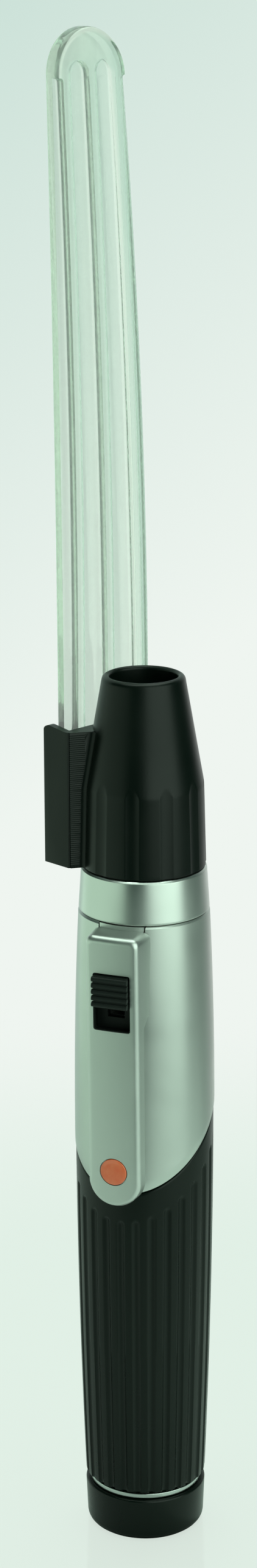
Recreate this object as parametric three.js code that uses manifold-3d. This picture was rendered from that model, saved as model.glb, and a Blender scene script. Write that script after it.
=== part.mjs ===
// Pocket examination lamp with a clear tongue blade: a battery handle for two AA cells, a screw-on lamp
// head with a side pocket for the blade, a sliding switch under a pocket clip, and a screw-off end cap.
// Millimetres, +Z up. The origin is the centre of the flat base, and the clip faces -Y.
import * as THREE from 'three';
import { mergeVertices } from 'three/addons/utils/BufferGeometryUtils.js';
import Module from 'manifold-3d';

const wasm = await Module();
wasm.setup();

// Fits
const fit = 0.3;
const overcut = 1;

// AA cells
const cellR = 7.1;
const cellCanLength = 49;
const cellShoulder = 0.6;
const terminalR = 2.6;
const terminalHeight = 1.2;

// End cap
const capHeight = 8;
const capStep = 0.13;
const capDraft = 0.34;
const capFloor = 2.2;
const capEdgeRound = 1.6;
const capWall = 1.4;
const capLipRound = 0.4;

// Spring and its plate
const plateThickness = 0.5;
const plateR = 8.2;
const springHeight = 5.4;
const springWireR = 0.4;
const springTurns = 3;
const springBottomR = 6.4;
const springTopR = 4.6;

// Handle barrel: two arcs that meet at the widest place
const contactDepth = 3.1;
const widestDrop = 36.1;
const ringShow = 1.4;
const barrelBottomWall = 1.95;
const barrelWidestWall = 3.27;
const barrelTopWall = 2.4;
const sleeveInset = 0.15;
const sleeveEdgeRound = 0.5;
const shellEdgeChamfer = 0.3;

// Slanted joint between the upper shell and the grip sleeve
const joinDrop = 37.3;
const joinSlope = 0.85;

// Grip flutes in the sleeve
const fluteCount = 27;
const fluteR = 0.85;
const fluteDepth = 0.35;
const fluteTopDrop = 4.8;

// Battery tube and the metal ring at its foot
const cellPlay = 0.4;
const tubeWall = 0.8;
const ringInset = 0.8;
const ringSpigotLength = 3.6;
const ringSocketLength = 6;
const ringWall = 0.4;

// Lamp head
const headTurn = 66;
const partingGap = 0.3;
const collarHeight = 7.2;
const collarFlare = 0.45;
const collarChamfer = 0.35;
const collarWall = 1;
const noseStep = 0.12;
const noseDraft = 0.38;
const noseShoulderHeight = 13.8;
const noseShoulderRound = 5;
const noseHeight = 32.2;
const rimWall = 1.18;
const rimRound = 0.9;
const rimInnerRound = 0.6;
const noseBoreR = 5.6;
const lensLedge = 0.6;
const lensSeatDepth = 10.1;
const spigotWall = 0.6;
const spigotLength = 6.5;
const noseCavityTop = 0.1;

// Grip flutes on the nose
const noseFluteCount = 11;
const noseFluteFirst = -6.7;
const noseFluteR = 4.7;
const noseFluteDepth = 0.36;
const noseFluteHeight = 19;
const noseFluteSpan = 30;

// Blade pocket beside the nose
const pocketInnerWall = 1.6;
const pocketEndWall = 1.25;
const pocketFrontWall = 1.1;
const pocketWall = 1.3;
const shoulderWidth = 4.3;
const shoulderDepth = 2.5;
const pocketHeight = 23.2;
const pocketBackRise = 0.8;
const pocketBackRound = 1.8;
const pocketFloor = 1.5;

// Tongue blade
const bladePlate = 2;
const bladeRib = 1.2;
const bladeHalfWidth = 9.75;
const bladeLength = 133.2;
const bladeStraight = 22;
const bladeSideArcR = 2630;
const bladeTipR = 7.7;
const bladeBowR = 1550;
const bladeEdge = 0.45;
const bladeFootRound = 2;
const ribWidth = 1.5;
const ribSpacing = 6.9;
const ribSpacingAtTip = 5.6;
const channelStop = 6.3;
const bladeSteps = 20;

// Lamp, lens and contacts in the head
const threadWall = 0.8;
const threadBelow = 8.6;
const threadAbove = 6.9;
const insulatorHeight = 5.2;
const contactR = 2.2;
const contactFootR = 3.4;
const contactFootHeight = 1.2;
const lampRise = 2.6;
const bulbFlangeR = 6.9;
const bulbFlangeHeight = 1.5;
const bulbSleeveR = 4.6;
const bulbSleeveHeight = 10.8;
const bulbSleeveWall = 1.3;
const bulbSleeveFloor = 3.8;
const bulbGlassHeight = 13;
const lensEdge = 2;
const lensCrown = 0.9;
const lensRingHeight = 1;
const lensRingWidth = 0.8;

// Pocket clip
const clipHalfWidth = 4.55;
const clipFootExtra = 0.5;
const clipTopDrop = 0.7;
const clipLength = 47.7;
const clipTopDepth = 4.45;
const clipTipDepth = 2.63;
const clipPlate = 2.4;
const clipEdgeRound = 0.7;
const clipRoofRound = 1.6;
const clipBoxHeight = 14.4;
const clipBoxChamfer = 1.6;
const clipWall = 0.85;
const clipFrontWall = 1.2;
const tongueHalfWidth = 3.8;
const tongueThickness = 0.9;
const tongueRise = 0.6;
const tongueReach = 1.6;

// Round inlay near the clip's tip
const badgeRise = 6.3;
const badgeR = 2.3;
const badgeThickness = 0.45;
const badgeProud = 0.15;

// Switch
const windowWidth = 6.5;
const windowDrop = 6.3;
const windowHeight = 10;
const windowCorner = 0.4;
const sliderHeight = 5.4;
const sliderProud = 1.2;
const sliderRidges = 5;
const sliderRidgePitch = 1;
const sliderRidgeDepth = 0.35;
const sliderFlange = 0.6;
const sliderFlangeExtra = 0.45;
const stemWidth = 2.4;
const stemHeight = 3;
const sliderTravel = 3.4;
const baseThickness = 1;
const baseHalfWidth = 3.4;
const wiperThickness = 0.8;
const stripWidth = 4;
const stripThickness = 0.5;
const stripLength = 16;

// Facets
const roundSteps = 54;
const smallSteps = 28;

// Places that follow from the sizes above: first up the battery stack, then outwards from the cells
const plateZ = capFloor + fit;
const springZ = plateZ + plateThickness + fit;
const lowerCellZ = springZ + springHeight + fit;
const cellLength = cellCanLength + terminalHeight;
const upperCellZ = lowerCellZ + cellLength + fit;
const contactZ = upperCellZ + cellLength + fit;
const barrelBottomZ = capHeight + ringShow;
const barrelTopZ = contactZ + contactDepth;
const barrelWidestZ = barrelTopZ - widestDrop;
const joinZ = barrelTopZ - joinDrop;
const collarZ = barrelTopZ + partingGap;
const noseZ = collarZ + collarHeight + fit;
const noseTopZ = noseZ + noseHeight;
const lensSeatZ = noseTopZ - lensSeatDepth;
const threadBottomZ = collarZ - threadBelow - fit;
const bulbZ = contactZ + contactFootHeight + fit + insulatorHeight + lampRise;

const tubeBoreR = cellR + cellPlay;
const tubeR = tubeBoreR + tubeWall;
const handleBoreR = tubeR + fit;
const barrelBottomR = handleBoreR + barrelBottomWall;
const barrelWidestR = handleBoreR + barrelWidestWall;
const barrelTopR = handleBoreR + barrelTopWall;
const ringSocketR = handleBoreR + ringWall + fit;
const ringFlangeR = barrelBottomR - ringInset;
const capTopR = barrelBottomR - capStep;
const capBaseR = capTopR - capDraft;
const capBoreR = capTopR - capWall;
const threadR = tubeBoreR + threadWall;
const noseCavityR = threadR + fit;
const spigotR = noseCavityR + spigotWall;
const collarBoreR = spigotR + fit;
const collarTopR = collarBoreR + collarWall;
const collarBottomR = collarTopR + collarFlare;
const noseBottomR = collarTopR - noseStep;
const noseShoulderR = noseBottomR - noseDraft;
const rimR = noseBoreR + rimWall;
const chamberR = noseBoreR - lensLedge;

const bladeFront = noseBoreR + pocketInnerWall + fit;
const bladeBack = bladeFront + bladeRib + bladePlate;
const bladeZ = noseZ + pocketFloor + fit;
const bladeTipZ = bladeZ + bladeLength;
const pocketBack = bladeBack + fit + pocketWall;
const pocketFront = bladeFront - fit - pocketFrontWall;
const pocketHalfWidth = bladeHalfWidth + fit + pocketEndWall;
const pocketShoulderHalfWidth = pocketHalfWidth - shoulderWidth;
const pocketShoulderFront = pocketFront - shoulderDepth;
const pocketTopZ = noseZ + pocketHeight;

const clipTopZ = barrelTopZ - clipTopDrop;
const clipTipZ = clipTopZ - clipLength;
const clipFaceAtTop = barrelTopR + clipTopDepth;
const clipFaceAtTip = barrelWidestR + clipTipDepth;
const clipBoxBottomZ = clipTopZ - clipBoxHeight;
const badgeZ = clipTipZ + badgeRise;
const windowTopZ = clipTopZ - windowDrop;

// Turns a closed geometry into a solid that can be joined and cut, with its faces pointing out.
function solid(geometry) {
  const bare = geometry.clone();
  bare.deleteAttribute('normal');
  bare.deleteAttribute('uv');
  const merged = mergeVertices(bare, 1e-4);
  const index = merged.index.array;
  const triangles = [];
  for (let i = 0; i < index.length; i += 3) {
    const corner = [index[i], index[i + 1], index[i + 2]];
    if (new Set(corner).size === 3) triangles.push(...corner);
  }
  const vertices = new Float32Array(merged.attributes.position.array);
  const build = (list) => new wasm.Manifold(
    new wasm.Mesh({ numProp: 3, vertProperties: vertices, triVerts: new Uint32Array(list) }));
  const body = build(triangles);
  return body.volume() > 0 ? body : build(triangles.reverse());
}

// Brings a joined or cut solid back as a geometry.
function geometryOf(body) {
  const data = body.getMesh();
  const geometry = new THREE.BufferGeometry();
  geometry.setAttribute('position', new THREE.BufferAttribute(new Float32Array(data.vertProperties), 3));
  geometry.setIndex(new THREE.BufferAttribute(new Uint32Array(data.triVerts), 1));
  geometry.computeVertexNormals();
  return geometry;
}

// A named piece with its own finish.
function piece(name, body, colour, roughness, metalness) {
  const finish = new THREE.MeshStandardMaterial({ color: colour, roughness, metalness });
  const mesh = new THREE.Mesh(geometryOf(body), finish);
  mesh.name = name;
  return mesh;
}

// A closed outline of [radius, height] points turned about Z.
function turned(outline, steps = roundSteps) {
  const points = outline.map(([r, z]) => new THREE.Vector2(r, z));
  points.push(points[0].clone());
  return solid(new THREE.LatheGeometry(points, steps).rotateX(Math.PI / 2));
}

// A straight ring or, with no bore, a straight disc.
function ring(outerR, innerR, bottomZ, topZ, steps = roundSteps) {
  return turned([[innerR, bottomZ], [outerR, bottomZ], [outerR, topZ], [innerR, topZ]], steps);
}

// Points of a round corner from one angle to another, in degrees.
function corner(centreX, centreY, radius, from, to, steps = 4) {
  const points = [];
  for (let i = 0; i <= steps; i++) {
    const angle = THREE.MathUtils.degToRad(from + ((to - from) * i) / steps);
    points.push([centreX + radius * Math.cos(angle), centreY + radius * Math.sin(angle)]);
  }
  return points;
}

// A flat outline pushed along +Z between two heights.
function prism(outline, bottomZ, topZ) {
  const shape = new THREE.Shape(outline.map(([x, y]) => new THREE.Vector2(x, y)));
  const geometry = new THREE.ExtrudeGeometry(shape, { depth: topZ - bottomZ, bevelEnabled: false });
  return solid(geometry.translate(0, 0, bottomZ));
}

// A side outline of [y, z] points pushed along X, from -halfWidth to halfWidth.
function sidePrism(outline, halfWidth) {
  const turn = new THREE.Matrix4().makeBasis(
    new THREE.Vector3(0, 1, 0), new THREE.Vector3(0, 0, 1), new THREE.Vector3(1, 0, 0));
  return prism(outline, -halfWidth, halfWidth).transform(turn.elements);
}

// A front outline of [x, z] points pushed along Y between two depths.
function frontPrism(outline, nearY, farY) {
  const turn = new THREE.Matrix4().makeBasis(
    new THREE.Vector3(1, 0, 0), new THREE.Vector3(0, 0, 1), new THREE.Vector3(0, -1, 0));
  return prism(outline, -farY, -nearY).transform(turn.elements);
}

// A block between two corners.
function block(minX, maxX, minY, maxY, minZ, maxZ) {
  return prism([[minX, minY], [maxX, minY], [maxX, maxY], [minX, maxY]], minZ, maxZ);
}

// Rings of equally many points joined into one closed skin with flat ends.
function loft(rings) {
  const count = rings[0].length;
  const positions = rings.flat().flatMap((p) => [p.x, p.y, p.z]);
  const index = [];
  for (let i = 0; i + 1 < rings.length; i++) {
    for (let j = 0; j < count; j++) {
      const a = i * count + j;
      const b = i * count + ((j + 1) % count);
      index.push(a, b, b + count, a, b + count, a + count);
    }
  }
  const last = (rings.length - 1) * count;
  for (let j = 1; j + 1 < count; j++) {
    index.push(0, j + 1, j, last, last + j, last + j + 1);
  }
  const geometry = new THREE.BufferGeometry();
  geometry.setAttribute('position', new THREE.Float32BufferAttribute(positions, 3));
  geometry.setIndex(index);
  return solid(geometry);
}

// The barrel's radius at a height, on the arc below or above its widest place.
function barrelR(z) {
  const below = z < barrelWidestZ;
  const run = below ? barrelWidestZ - barrelBottomZ : barrelTopZ - barrelWidestZ;
  const drop = barrelWidestR - (below ? barrelBottomR : barrelTopR);
  const arcR = (run * run + drop * drop) / (2 * drop);
  const offset = z - barrelWidestZ;
  return barrelWidestR - arcR + Math.sqrt(arcR * arcR - offset * offset);
}

// A turned solid whose outside follows the barrel, moved out or in by an offset.
function barrelSolid(bottomZ, topZ, offset, innerR, steps = 8) {
  const outline = [];
  for (let i = 0; i <= steps; i++) {
    const z = bottomZ + ((topZ - bottomZ) * i) / steps;
    outline.push([barrelR(z) + offset, z]);
  }
  return turned([[innerR, bottomZ], ...outline, [innerR, topZ]]);
}

// The half of space over or under the slanted joint, as a thick slab.
function joinSlab(upper, gap) {
  const reach = barrelWidestR + overcut;
  const endZ = upper ? barrelTopZ + overcut : barrelBottomZ - overcut;
  const side = upper ? gap : -gap;
  return sidePrism([
    [-reach, joinZ - joinSlope * reach + side],
    [reach, joinZ + joinSlope * reach + side],
    [reach, endZ],
    [-reach, endZ],
  ], reach);
}

// The clip's front face at a height.
function clipFaceY(z) {
  const share = (z - clipTipZ) / (clipTopZ - clipTipZ);
  return -(clipFaceAtTip + (clipFaceAtTop - clipFaceAtTip) * share);
}

const clipFaceTilt = Math.atan((clipFaceAtTop - clipFaceAtTip) / (clipTopZ - clipTipZ));
const windowBottomZ = windowTopZ - windowHeight;
const windowMidZ = (windowTopZ + windowBottomZ) / 2;
const switchBodyR = Math.max(barrelR(windowBottomZ), barrelR(windowTopZ)) + fit;
const sliderTopZ = windowTopZ - fit;
const stemTopZ = sliderTopZ - (sliderHeight - stemHeight) / 2;
const stripY = -(handleBoreR + stripThickness);
const stripTopZ = barrelTopZ - fit;

// Upper shell: satin silver half of the barrel, over the slanted joint.
function upperShell() {
  const lowZ = joinZ - joinSlope * barrelWidestR;
  let body = barrelSolid(lowZ - overcut, barrelTopZ, 0, handleBoreR).intersect(joinSlab(true, fit / 2));
  const edgeR = barrelR(barrelTopZ);
  const edge = turned([
    [edgeR - shellEdgeChamfer, barrelTopZ + overcut],
    [edgeR - shellEdgeChamfer, barrelTopZ],
    [edgeR, barrelTopZ - shellEdgeChamfer],
    [edgeR + overcut, barrelTopZ - shellEdgeChamfer],
    [edgeR + overcut, barrelTopZ + overcut],
  ]);
  const notchZ = clipTopZ + tongueRise - tongueThickness - fit;
  const notch = block(-tongueHalfWidth - fit, tongueHalfWidth + fit,
    -barrelWidestR - overcut, -handleBoreR + overcut, notchZ, barrelTopZ + overcut);
  const channel = block(-stripWidth / 2 - fit, stripWidth / 2 + fit, stripY - fit, 0,
    stripTopZ - stripLength - fit, barrelTopZ + overcut);
  const slot = block(-stemWidth / 2 - fit, stemWidth / 2 + fit, -barrelWidestR - overcut, 0,
    stemTopZ - stemHeight - sliderTravel - fit, stemTopZ + fit);
  body = body.subtract(edge).subtract(notch).subtract(channel).subtract(slot);
  return piece('upper_shell', body, 0xb9c4bd, 0.38, 0.85);
}

// Grip sleeve: black fluted lower half, each flute a ball-ended groove along the barrel.
function gripSleeve() {
  const highZ = joinZ + joinSlope * barrelWidestR;
  let body = barrelSolid(barrelBottomZ, highZ + overcut, -sleeveInset, handleBoreR)
    .intersect(joinSlab(false, fit / 2));
  const footR = barrelR(barrelBottomZ) - sleeveInset;
  const foot = turned([
    [footR - sleeveEdgeRound, barrelBottomZ - overcut],
    ...corner(footR - sleeveEdgeRound, barrelBottomZ + sleeveEdgeRound, sleeveEdgeRound, -90, 0),
    [footR + overcut, barrelBottomZ + sleeveEdgeRound],
    [footR + overcut, barrelBottomZ - overcut],
  ]);
  const socket = ring(ringSocketR, handleBoreR - overcut, barrelBottomZ - overcut,
    barrelBottomZ + ringSocketLength + fit);
  body = body.subtract(foot).subtract(socket);
  const grooves = [];
  for (let i = 0; i < fluteCount; i++) {
    const turn = (2 * Math.PI * i) / fluteCount;
    grooves.push(sleeveFlute(-Math.cos(turn)).rotate([0, 0, (turn * 180) / Math.PI]));
  }
  return piece('grip_sleeve', body.subtract(wasm.Manifold.union(grooves)), 0x1c2421, 0.5, 0);
}

// One flute cutter at -Y. Its top lies a fixed drop under the slanted joint at its own place.
function sleeveFlute(depthShare) {
  const topZ = joinZ + joinSlope * barrelWidestR * depthShare - fluteTopDrop;
  const ballZ = topZ - fluteR;
  const steps = 3;
  const sides = 8;
  const rings = [];
  const addRing = (z, radius) => {
    const centreY = -(barrelR(Math.min(z, ballZ)) - sleeveInset - fluteDepth + fluteR);
    const points = [];
    for (let j = 0; j < sides; j++) {
      const angle = (2 * Math.PI * (j + 0.5)) / sides;
      points.push(new THREE.Vector3(radius * Math.cos(angle), centreY + radius * Math.sin(angle), z));
    }
    rings.push(points);
  };
  const startZ = barrelBottomZ - overcut;
  for (let i = 0; i <= steps; i++) addRing(startZ + ((ballZ - startZ) * i) / steps, fluteR);
  for (const lift of [45, 75]) {
    const angle = THREE.MathUtils.degToRad(lift);
    addRing(ballZ + fluteR * Math.sin(angle), fluteR * Math.cos(angle));
  }
  return loft(rings);
}

// Battery tube: metal liner that carries the shells and guides the cells.
function batteryTube() {
  const body = ring(tubeR, tubeBoreR, barrelBottomZ + fit, threadBottomZ - fit, smallSteps);
  return piece('battery_tube', body, 0xb0a878, 0.4, 0.9);
}

// Tail ring: bright metal ring between the sleeve and the cap, with a spigot into each.
function tailRing() {
  const flangeBottomZ = capHeight + fit;
  const flangeTopZ = barrelBottomZ - fit;
  const body = turned([
    [tubeBoreR, flangeBottomZ - ringSpigotLength],
    [capBoreR - fit, flangeBottomZ - ringSpigotLength],
    [capBoreR - fit, flangeBottomZ],
    [ringFlangeR, flangeBottomZ],
    [ringFlangeR, flangeTopZ],
    [ringSocketR - fit, flangeTopZ],
    [ringSocketR - fit, barrelBottomZ + ringSocketLength],
    [handleBoreR, barrelBottomZ + ringSocketLength],
    [handleBoreR, barrelBottomZ],
    [tubeBoreR, barrelBottomZ],
  ], smallSteps);
  return piece('tail_ring', body, 0xd9dedb, 0.2, 1);
}

// Switch base: insulating plate on the shell, behind the window, with a slot for the slider's stem.
function switchBase() {
  const body = block(-baseHalfWidth, baseHalfWidth, -switchBodyR - baseThickness, -handleBoreR,
    windowBottomZ - fit, windowTopZ + 2 * fit)
    .subtract(barrelSolid(windowBottomZ - overcut, windowTopZ + overcut, fit, handleBoreR - overcut))
    .subtract(ring(handleBoreR, 0, windowBottomZ - overcut, windowTopZ + overcut))
    .subtract(block(-stemWidth / 2 - fit, stemWidth / 2 + fit, -clipFaceAtTop, 0,
      stemTopZ - stemHeight - sliderTravel - fit, stemTopZ + fit));
  return piece('switch_base', body, 0x141816, 0.6, 0);
}

// Contact strip: flat spring strip in a channel of the shell, from the switch up to the head's thread.
function contactStrip() {
  const body = block(-stripWidth / 2, stripWidth / 2, stripY, stripY + stripThickness,
    stripTopZ - stripLength, stripTopZ);
  return piece('contact_strip', body, 0xc79a4a, 0.35, 1);
}

// Thumb slider: ridged button through the clip's window, with a flange behind the window and a stem.
function thumbSlider() {
  const flangeBackY = -(switchBodyR + baseThickness + fit);
  const halfWidth = windowWidth / 2 - fit;
  const bottomZ = sliderTopZ - sliderHeight;
  const sliderMidZ = sliderTopZ - sliderHeight / 2;
  const frontY = clipFaceY(windowMidZ) - sliderProud;
  let body = block(-halfWidth, halfWidth, frontY, flangeBackY, bottomZ, sliderTopZ);
  for (let i = 0; i < sliderRidges; i++) {
    const grooveZ = sliderMidZ + (i - (sliderRidges - 1) / 2) * sliderRidgePitch;
    const half = sliderRidgePitch / 4;
    body = body.subtract(sidePrism([
      [frontY - overcut, grooveZ - half],
      [frontY, grooveZ - half],
      [frontY + sliderRidgeDepth, grooveZ],
      [frontY, grooveZ + half],
      [frontY - overcut, grooveZ + half],
    ], halfWidth + overcut));
  }
  const flange = block(-halfWidth - sliderFlangeExtra, halfWidth + sliderFlangeExtra,
    flangeBackY - sliderFlange, flangeBackY, bottomZ - sliderFlangeExtra, sliderTopZ + sliderFlangeExtra);
  const stemEndY = stripY - fit - wiperThickness - fit;
  const stem = block(-stemWidth / 2, stemWidth / 2, flangeBackY - sliderFlange, stemEndY,
    stemTopZ - stemHeight, stemTopZ);
  return piece('thumb_slider', body.add(flange).add(stem), 0x171c1a, 0.55, 0);
}

// Slider contact: small metal wiper between the stem and the strip.
function sliderContact() {
  const nearY = stripY - fit - wiperThickness;
  const body = block(-stemWidth / 2, stemWidth / 2, nearY, nearY + wiperThickness,
    stemTopZ - stemHeight, stemTopZ);
  return piece('slider_contact', body, 0xc79a4a, 0.3, 1);
}

// Pocket clip: one pressing seen from three sides, a box over the switch that runs down into a free plate.
function pocketClip() {
  const deepY = -handleBoreR;
  const faceTopY = clipFaceY(clipTopZ);
  const faceTipY = clipFaceY(clipTipZ);
  const stepY = clipFaceY(clipBoxBottomZ) + clipPlate;
  const side = sidePrism([
    [deepY, clipTopZ],
    ...corner(faceTopY + clipRoofRound, clipTopZ - clipRoofRound, clipRoofRound, 90, 180),
    [faceTipY, clipTipZ],
    [faceTipY + clipPlate, clipTipZ],
    [stepY, clipBoxBottomZ - clipBoxChamfer],
    [stepY + clipBoxChamfer, clipBoxBottomZ],
    [deepY, clipBoxBottomZ],
  ], clipHalfWidth + 2 * clipFootExtra);
  const wide = clipHalfWidth + clipFootExtra;
  const narrow = clipHalfWidth;
  const faceY = faceTopY;
  const plan = prism([
    [-wide, deepY],
    ...corner(-narrow + clipEdgeRound, faceY + clipEdgeRound, clipEdgeRound, 180, 270),
    ...corner(narrow - clipEdgeRound, faceY + clipEdgeRound, clipEdgeRound, 270, 360),
    [wide, deepY],
  ], 0, clipTopZ + overcut);
  const leaning = shearToFace(plan);
  const front = frontPrism([
    ...corner(0, clipTipZ + clipHalfWidth, clipHalfWidth, 180, 360, 14),
    [wide, clipBoxBottomZ - clipBoxChamfer],
    [wide, clipTopZ],
    [-wide, clipTopZ],
    [-wide, clipBoxBottomZ - clipBoxChamfer],
  ], -clipFaceAtTop - overcut, deepY);
  const hollow = sidePrism([
    [0, clipTopZ - clipWall],
    [clipFaceY(clipTopZ) + clipFrontWall, clipTopZ - clipWall],
    [clipFaceY(windowBottomZ) + clipFrontWall, windowBottomZ - fit - sliderFlangeExtra],
    [0, windowBottomZ - fit - sliderFlangeExtra],
  ], clipHalfWidth - clipWall);
  const bodyRoom = barrelSolid(clipTipZ - overcut, barrelTopZ + overcut, fit, 0);
  const half = windowWidth / 2;
  const window = frontPrism([
    ...corner(half - windowCorner, windowTopZ - windowCorner, windowCorner, 0, 90, 3),
    ...corner(windowCorner - half, windowTopZ - windowCorner, windowCorner, 90, 180, 3),
    ...corner(windowCorner - half, windowBottomZ + windowCorner, windowCorner, 180, 270, 3),
    ...corner(half - windowCorner, windowBottomZ + windowCorner, windowCorner, 270, 360, 3),
  ], -clipFaceAtTop - overcut, deepY);
  const tongueZ = clipTopZ + tongueRise - tongueThickness;
  const tongue = block(-tongueHalfWidth, tongueHalfWidth, -barrelR(barrelTopZ) - fit - clipWall,
    -barrelR(barrelTopZ) + tongueReach, tongueZ, clipTopZ + tongueRise);
  const body = side.intersect(leaning).intersect(front).subtract(hollow).subtract(bodyRoom)
    .subtract(window).subtract(badgeDisc(badgeR + fit / 2, badgeThickness + fit)).add(tongue);
  return piece('pocket_clip', body, 0xb4c0b8, 0.36, 0.85);
}

// Leans an upright solid so that its front follows the clip's sloping face.
function shearToFace(body) {
  const slope = Math.tan(clipFaceTilt);
  return body.warp((v) => { v[1] += (clipTopZ - v[2]) * slope; });
}

// A disc square to the clip's face near its tip, with its outer face just proud of the clip.
function badgeDisc(radius, thickness) {
  const proudZ = badgeProud;
  return ring(radius, 0, -thickness + proudZ, proudZ, smallSteps)
    .rotate([90 + THREE.MathUtils.radToDeg(clipFaceTilt), 0, 0])
    .translate([0, clipFaceY(badgeZ), badgeZ]);
}

// Round inlay in the clip.
function badgePiece() {
  return piece('badge_disc', badgeDisc(badgeR, badgeThickness), 0xd9502e, 0.4, 0);
}

// Collar: silver ring round the head's thread, tapering to the nose.
function collar() {
  const topZ = collarZ + collarHeight;
  const body = turned([
    [collarBoreR, collarZ],
    [collarBottomR - collarChamfer, collarZ],
    [collarBottomR, collarZ + collarChamfer],
    [collarTopR, topZ - collarChamfer],
    [collarTopR - collarChamfer, topZ],
    [collarBoreR, topZ],
  ]);
  return piece('collar', body, 0xbac6be, 0.34, 0.85);
}

// The nose's outside: a slightly drafted grip, a soft shoulder and a cone up to the rounded rim.
function noseOutside() {
  const shoulderZ = noseZ + noseShoulderHeight;
  const draft = Math.atan((noseBottomR - noseShoulderR) / noseShoulderHeight);
  const cone = Math.atan((noseShoulderR - rimR) / (noseTopZ - shoulderZ));
  const tangent = noseShoulderRound * Math.tan((cone - draft) / 2);
  const startZ = shoulderZ - tangent * Math.cos(draft);
  const startR = noseShoulderR + tangent * Math.sin(draft);
  const centreR = startR - noseShoulderRound * Math.cos(draft);
  const centreZ = startZ - noseShoulderRound * Math.sin(draft);
  const degrees = THREE.MathUtils.radToDeg;
  return [
    [noseBottomR, noseZ],
    ...corner(centreR, centreZ, noseShoulderRound, degrees(draft), degrees(cone), 3),
    ...corner(rimR - rimRound, noseTopZ - rimRound, rimRound, degrees(cone), 90),
  ];
}

// One grip flute cutter of the nose at -Y: a shallow hollow along the draft that runs out in the cone.
function noseFlute() {
  const draft = (noseBottomR - noseShoulderR) / noseShoulderHeight;
  const rings = [noseZ - overcut, noseZ + noseFluteHeight].map((z) => {
    const surfaceR = noseBottomR - draft * (z - noseZ);
    const centreY = noseFluteDepth - surfaceR - noseFluteR;
    return corner(0, centreY, noseFluteR, 90 - noseFluteSpan, 90 + noseFluteSpan, 6)
      .map(([x, y]) => new THREE.Vector3(x, y, z));
  });
  return loft(rings).subtract(ring(noseBottomR, 0, noseZ - 2 * overcut, noseZ, smallSteps));
}

// Lamp nose: black moulding that holds lens and lamp, with the blade pocket on its side.
function lampNose() {
  const grooves = [];
  for (let i = 0; i < noseFluteCount; i++) {
    grooves.push(noseFlute().rotate([0, 0, noseFluteFirst + (360 * i) / noseFluteCount]));
  }
  const outside = turned([
    [0, noseZ - spigotLength],
    [spigotR, noseZ - spigotLength],
    [spigotR, noseZ],
    ...noseOutside(),
    [0, noseTopZ],
  ]).subtract(wasm.Manifold.union(grooves));
  const plan = prism([
    [-pocketHalfWidth, pocketFront],
    [-pocketShoulderHalfWidth, pocketShoulderFront],
    [pocketShoulderHalfWidth, pocketShoulderFront],
    [pocketHalfWidth, pocketFront],
    [pocketHalfWidth, pocketBack],
    [-pocketHalfWidth, pocketBack],
  ], noseZ, pocketTopZ + pocketBackRise);
  const roundY = pocketBack - pocketBackRound;
  const roundEnd = THREE.MathUtils.radToDeg(Math.acos((bladeBack - roundY) / pocketBackRound));
  const profile = sidePrism([
    [0, noseZ],
    [pocketBack, noseZ],
    ...corner(roundY, pocketTopZ + pocketBackRise - pocketBackRound, pocketBackRound, 0, roundEnd),
    [bladeBack, pocketTopZ],
    [0, pocketTopZ],
  ], pocketHalfWidth + overcut);
  const slot = block(-bladeHalfWidth - fit, bladeHalfWidth + fit, bladeFront - fit, bladeBack + fit,
    noseZ + pocketFloor, noseTopZ + overcut);
  const bores = turned([
    [0, noseZ - spigotLength - overcut],
    [noseCavityR, noseZ - spigotLength - overcut],
    [noseCavityR, noseZ + noseCavityTop],
    [chamberR, noseZ + noseCavityTop],
    [chamberR, lensSeatZ],
    [noseBoreR, lensSeatZ],
    [noseBoreR, noseTopZ - rimInnerRound],
    ...corner(noseBoreR + rimInnerRound, noseTopZ - rimInnerRound, rimInnerRound, 180, 90),
    [noseBoreR + rimInnerRound, noseTopZ + overcut],
    [0, noseTopZ + overcut],
  ], smallSteps);
  const body = outside.add(plan.intersect(profile)).subtract(slot).subtract(bores);
  return piece('lamp_nose', body, 0x1b2320, 0.45, 0);
}

// Thread sleeve: brass tube that carries the head and screws into the top of the handle.
function threadSleeve() {
  const body = ring(threadR, tubeBoreR, threadBottomZ, collarZ + threadAbove, smallSteps);
  return piece('thread_sleeve', body, 0xc9a04e, 0.35, 1);
}

// Insulator that holds the centre contact inside the thread sleeve.
function bulbInsulator() {
  const bottomZ = contactZ + contactFootHeight + fit;
  const body = ring(tubeBoreR - fit, contactR + fit, bottomZ, bottomZ + insulatorHeight, smallSteps);
  return piece('bulb_insulator', body, 0xe4dcc6, 0.6, 0);
}

// Centre contact: plunger between the upper cell and the lamp.
function centreContact() {
  const body = turned([
    [0, contactZ],
    [contactFootR, contactZ],
    [contactFootR, contactZ + contactFootHeight],
    [contactR, contactZ + contactFootHeight],
    [contactR, bulbZ - fit],
    [0, bulbZ - fit],
  ], smallSteps);
  return piece('centre_contact', body, 0xc9a04e, 0.3, 1);
}

// Lamp sleeve: flanged metal cup of the lamp.
function bulbSleeve() {
  const topZ = bulbZ + bulbSleeveHeight;
  const body = turned([
    [0, bulbZ],
    [bulbFlangeR, bulbZ],
    [bulbFlangeR, bulbZ + bulbFlangeHeight],
    [bulbSleeveR, bulbZ + bulbFlangeHeight],
    [bulbSleeveR, topZ],
    [bulbSleeveR - bulbSleeveWall, topZ],
    [bulbSleeveR - bulbSleeveWall, bulbZ + bulbSleeveFloor],
    [0, bulbZ + bulbSleeveFloor],
  ], smallSteps);
  return piece('bulb_sleeve', body, 0xc8ccc8, 0.25, 1);
}

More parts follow.
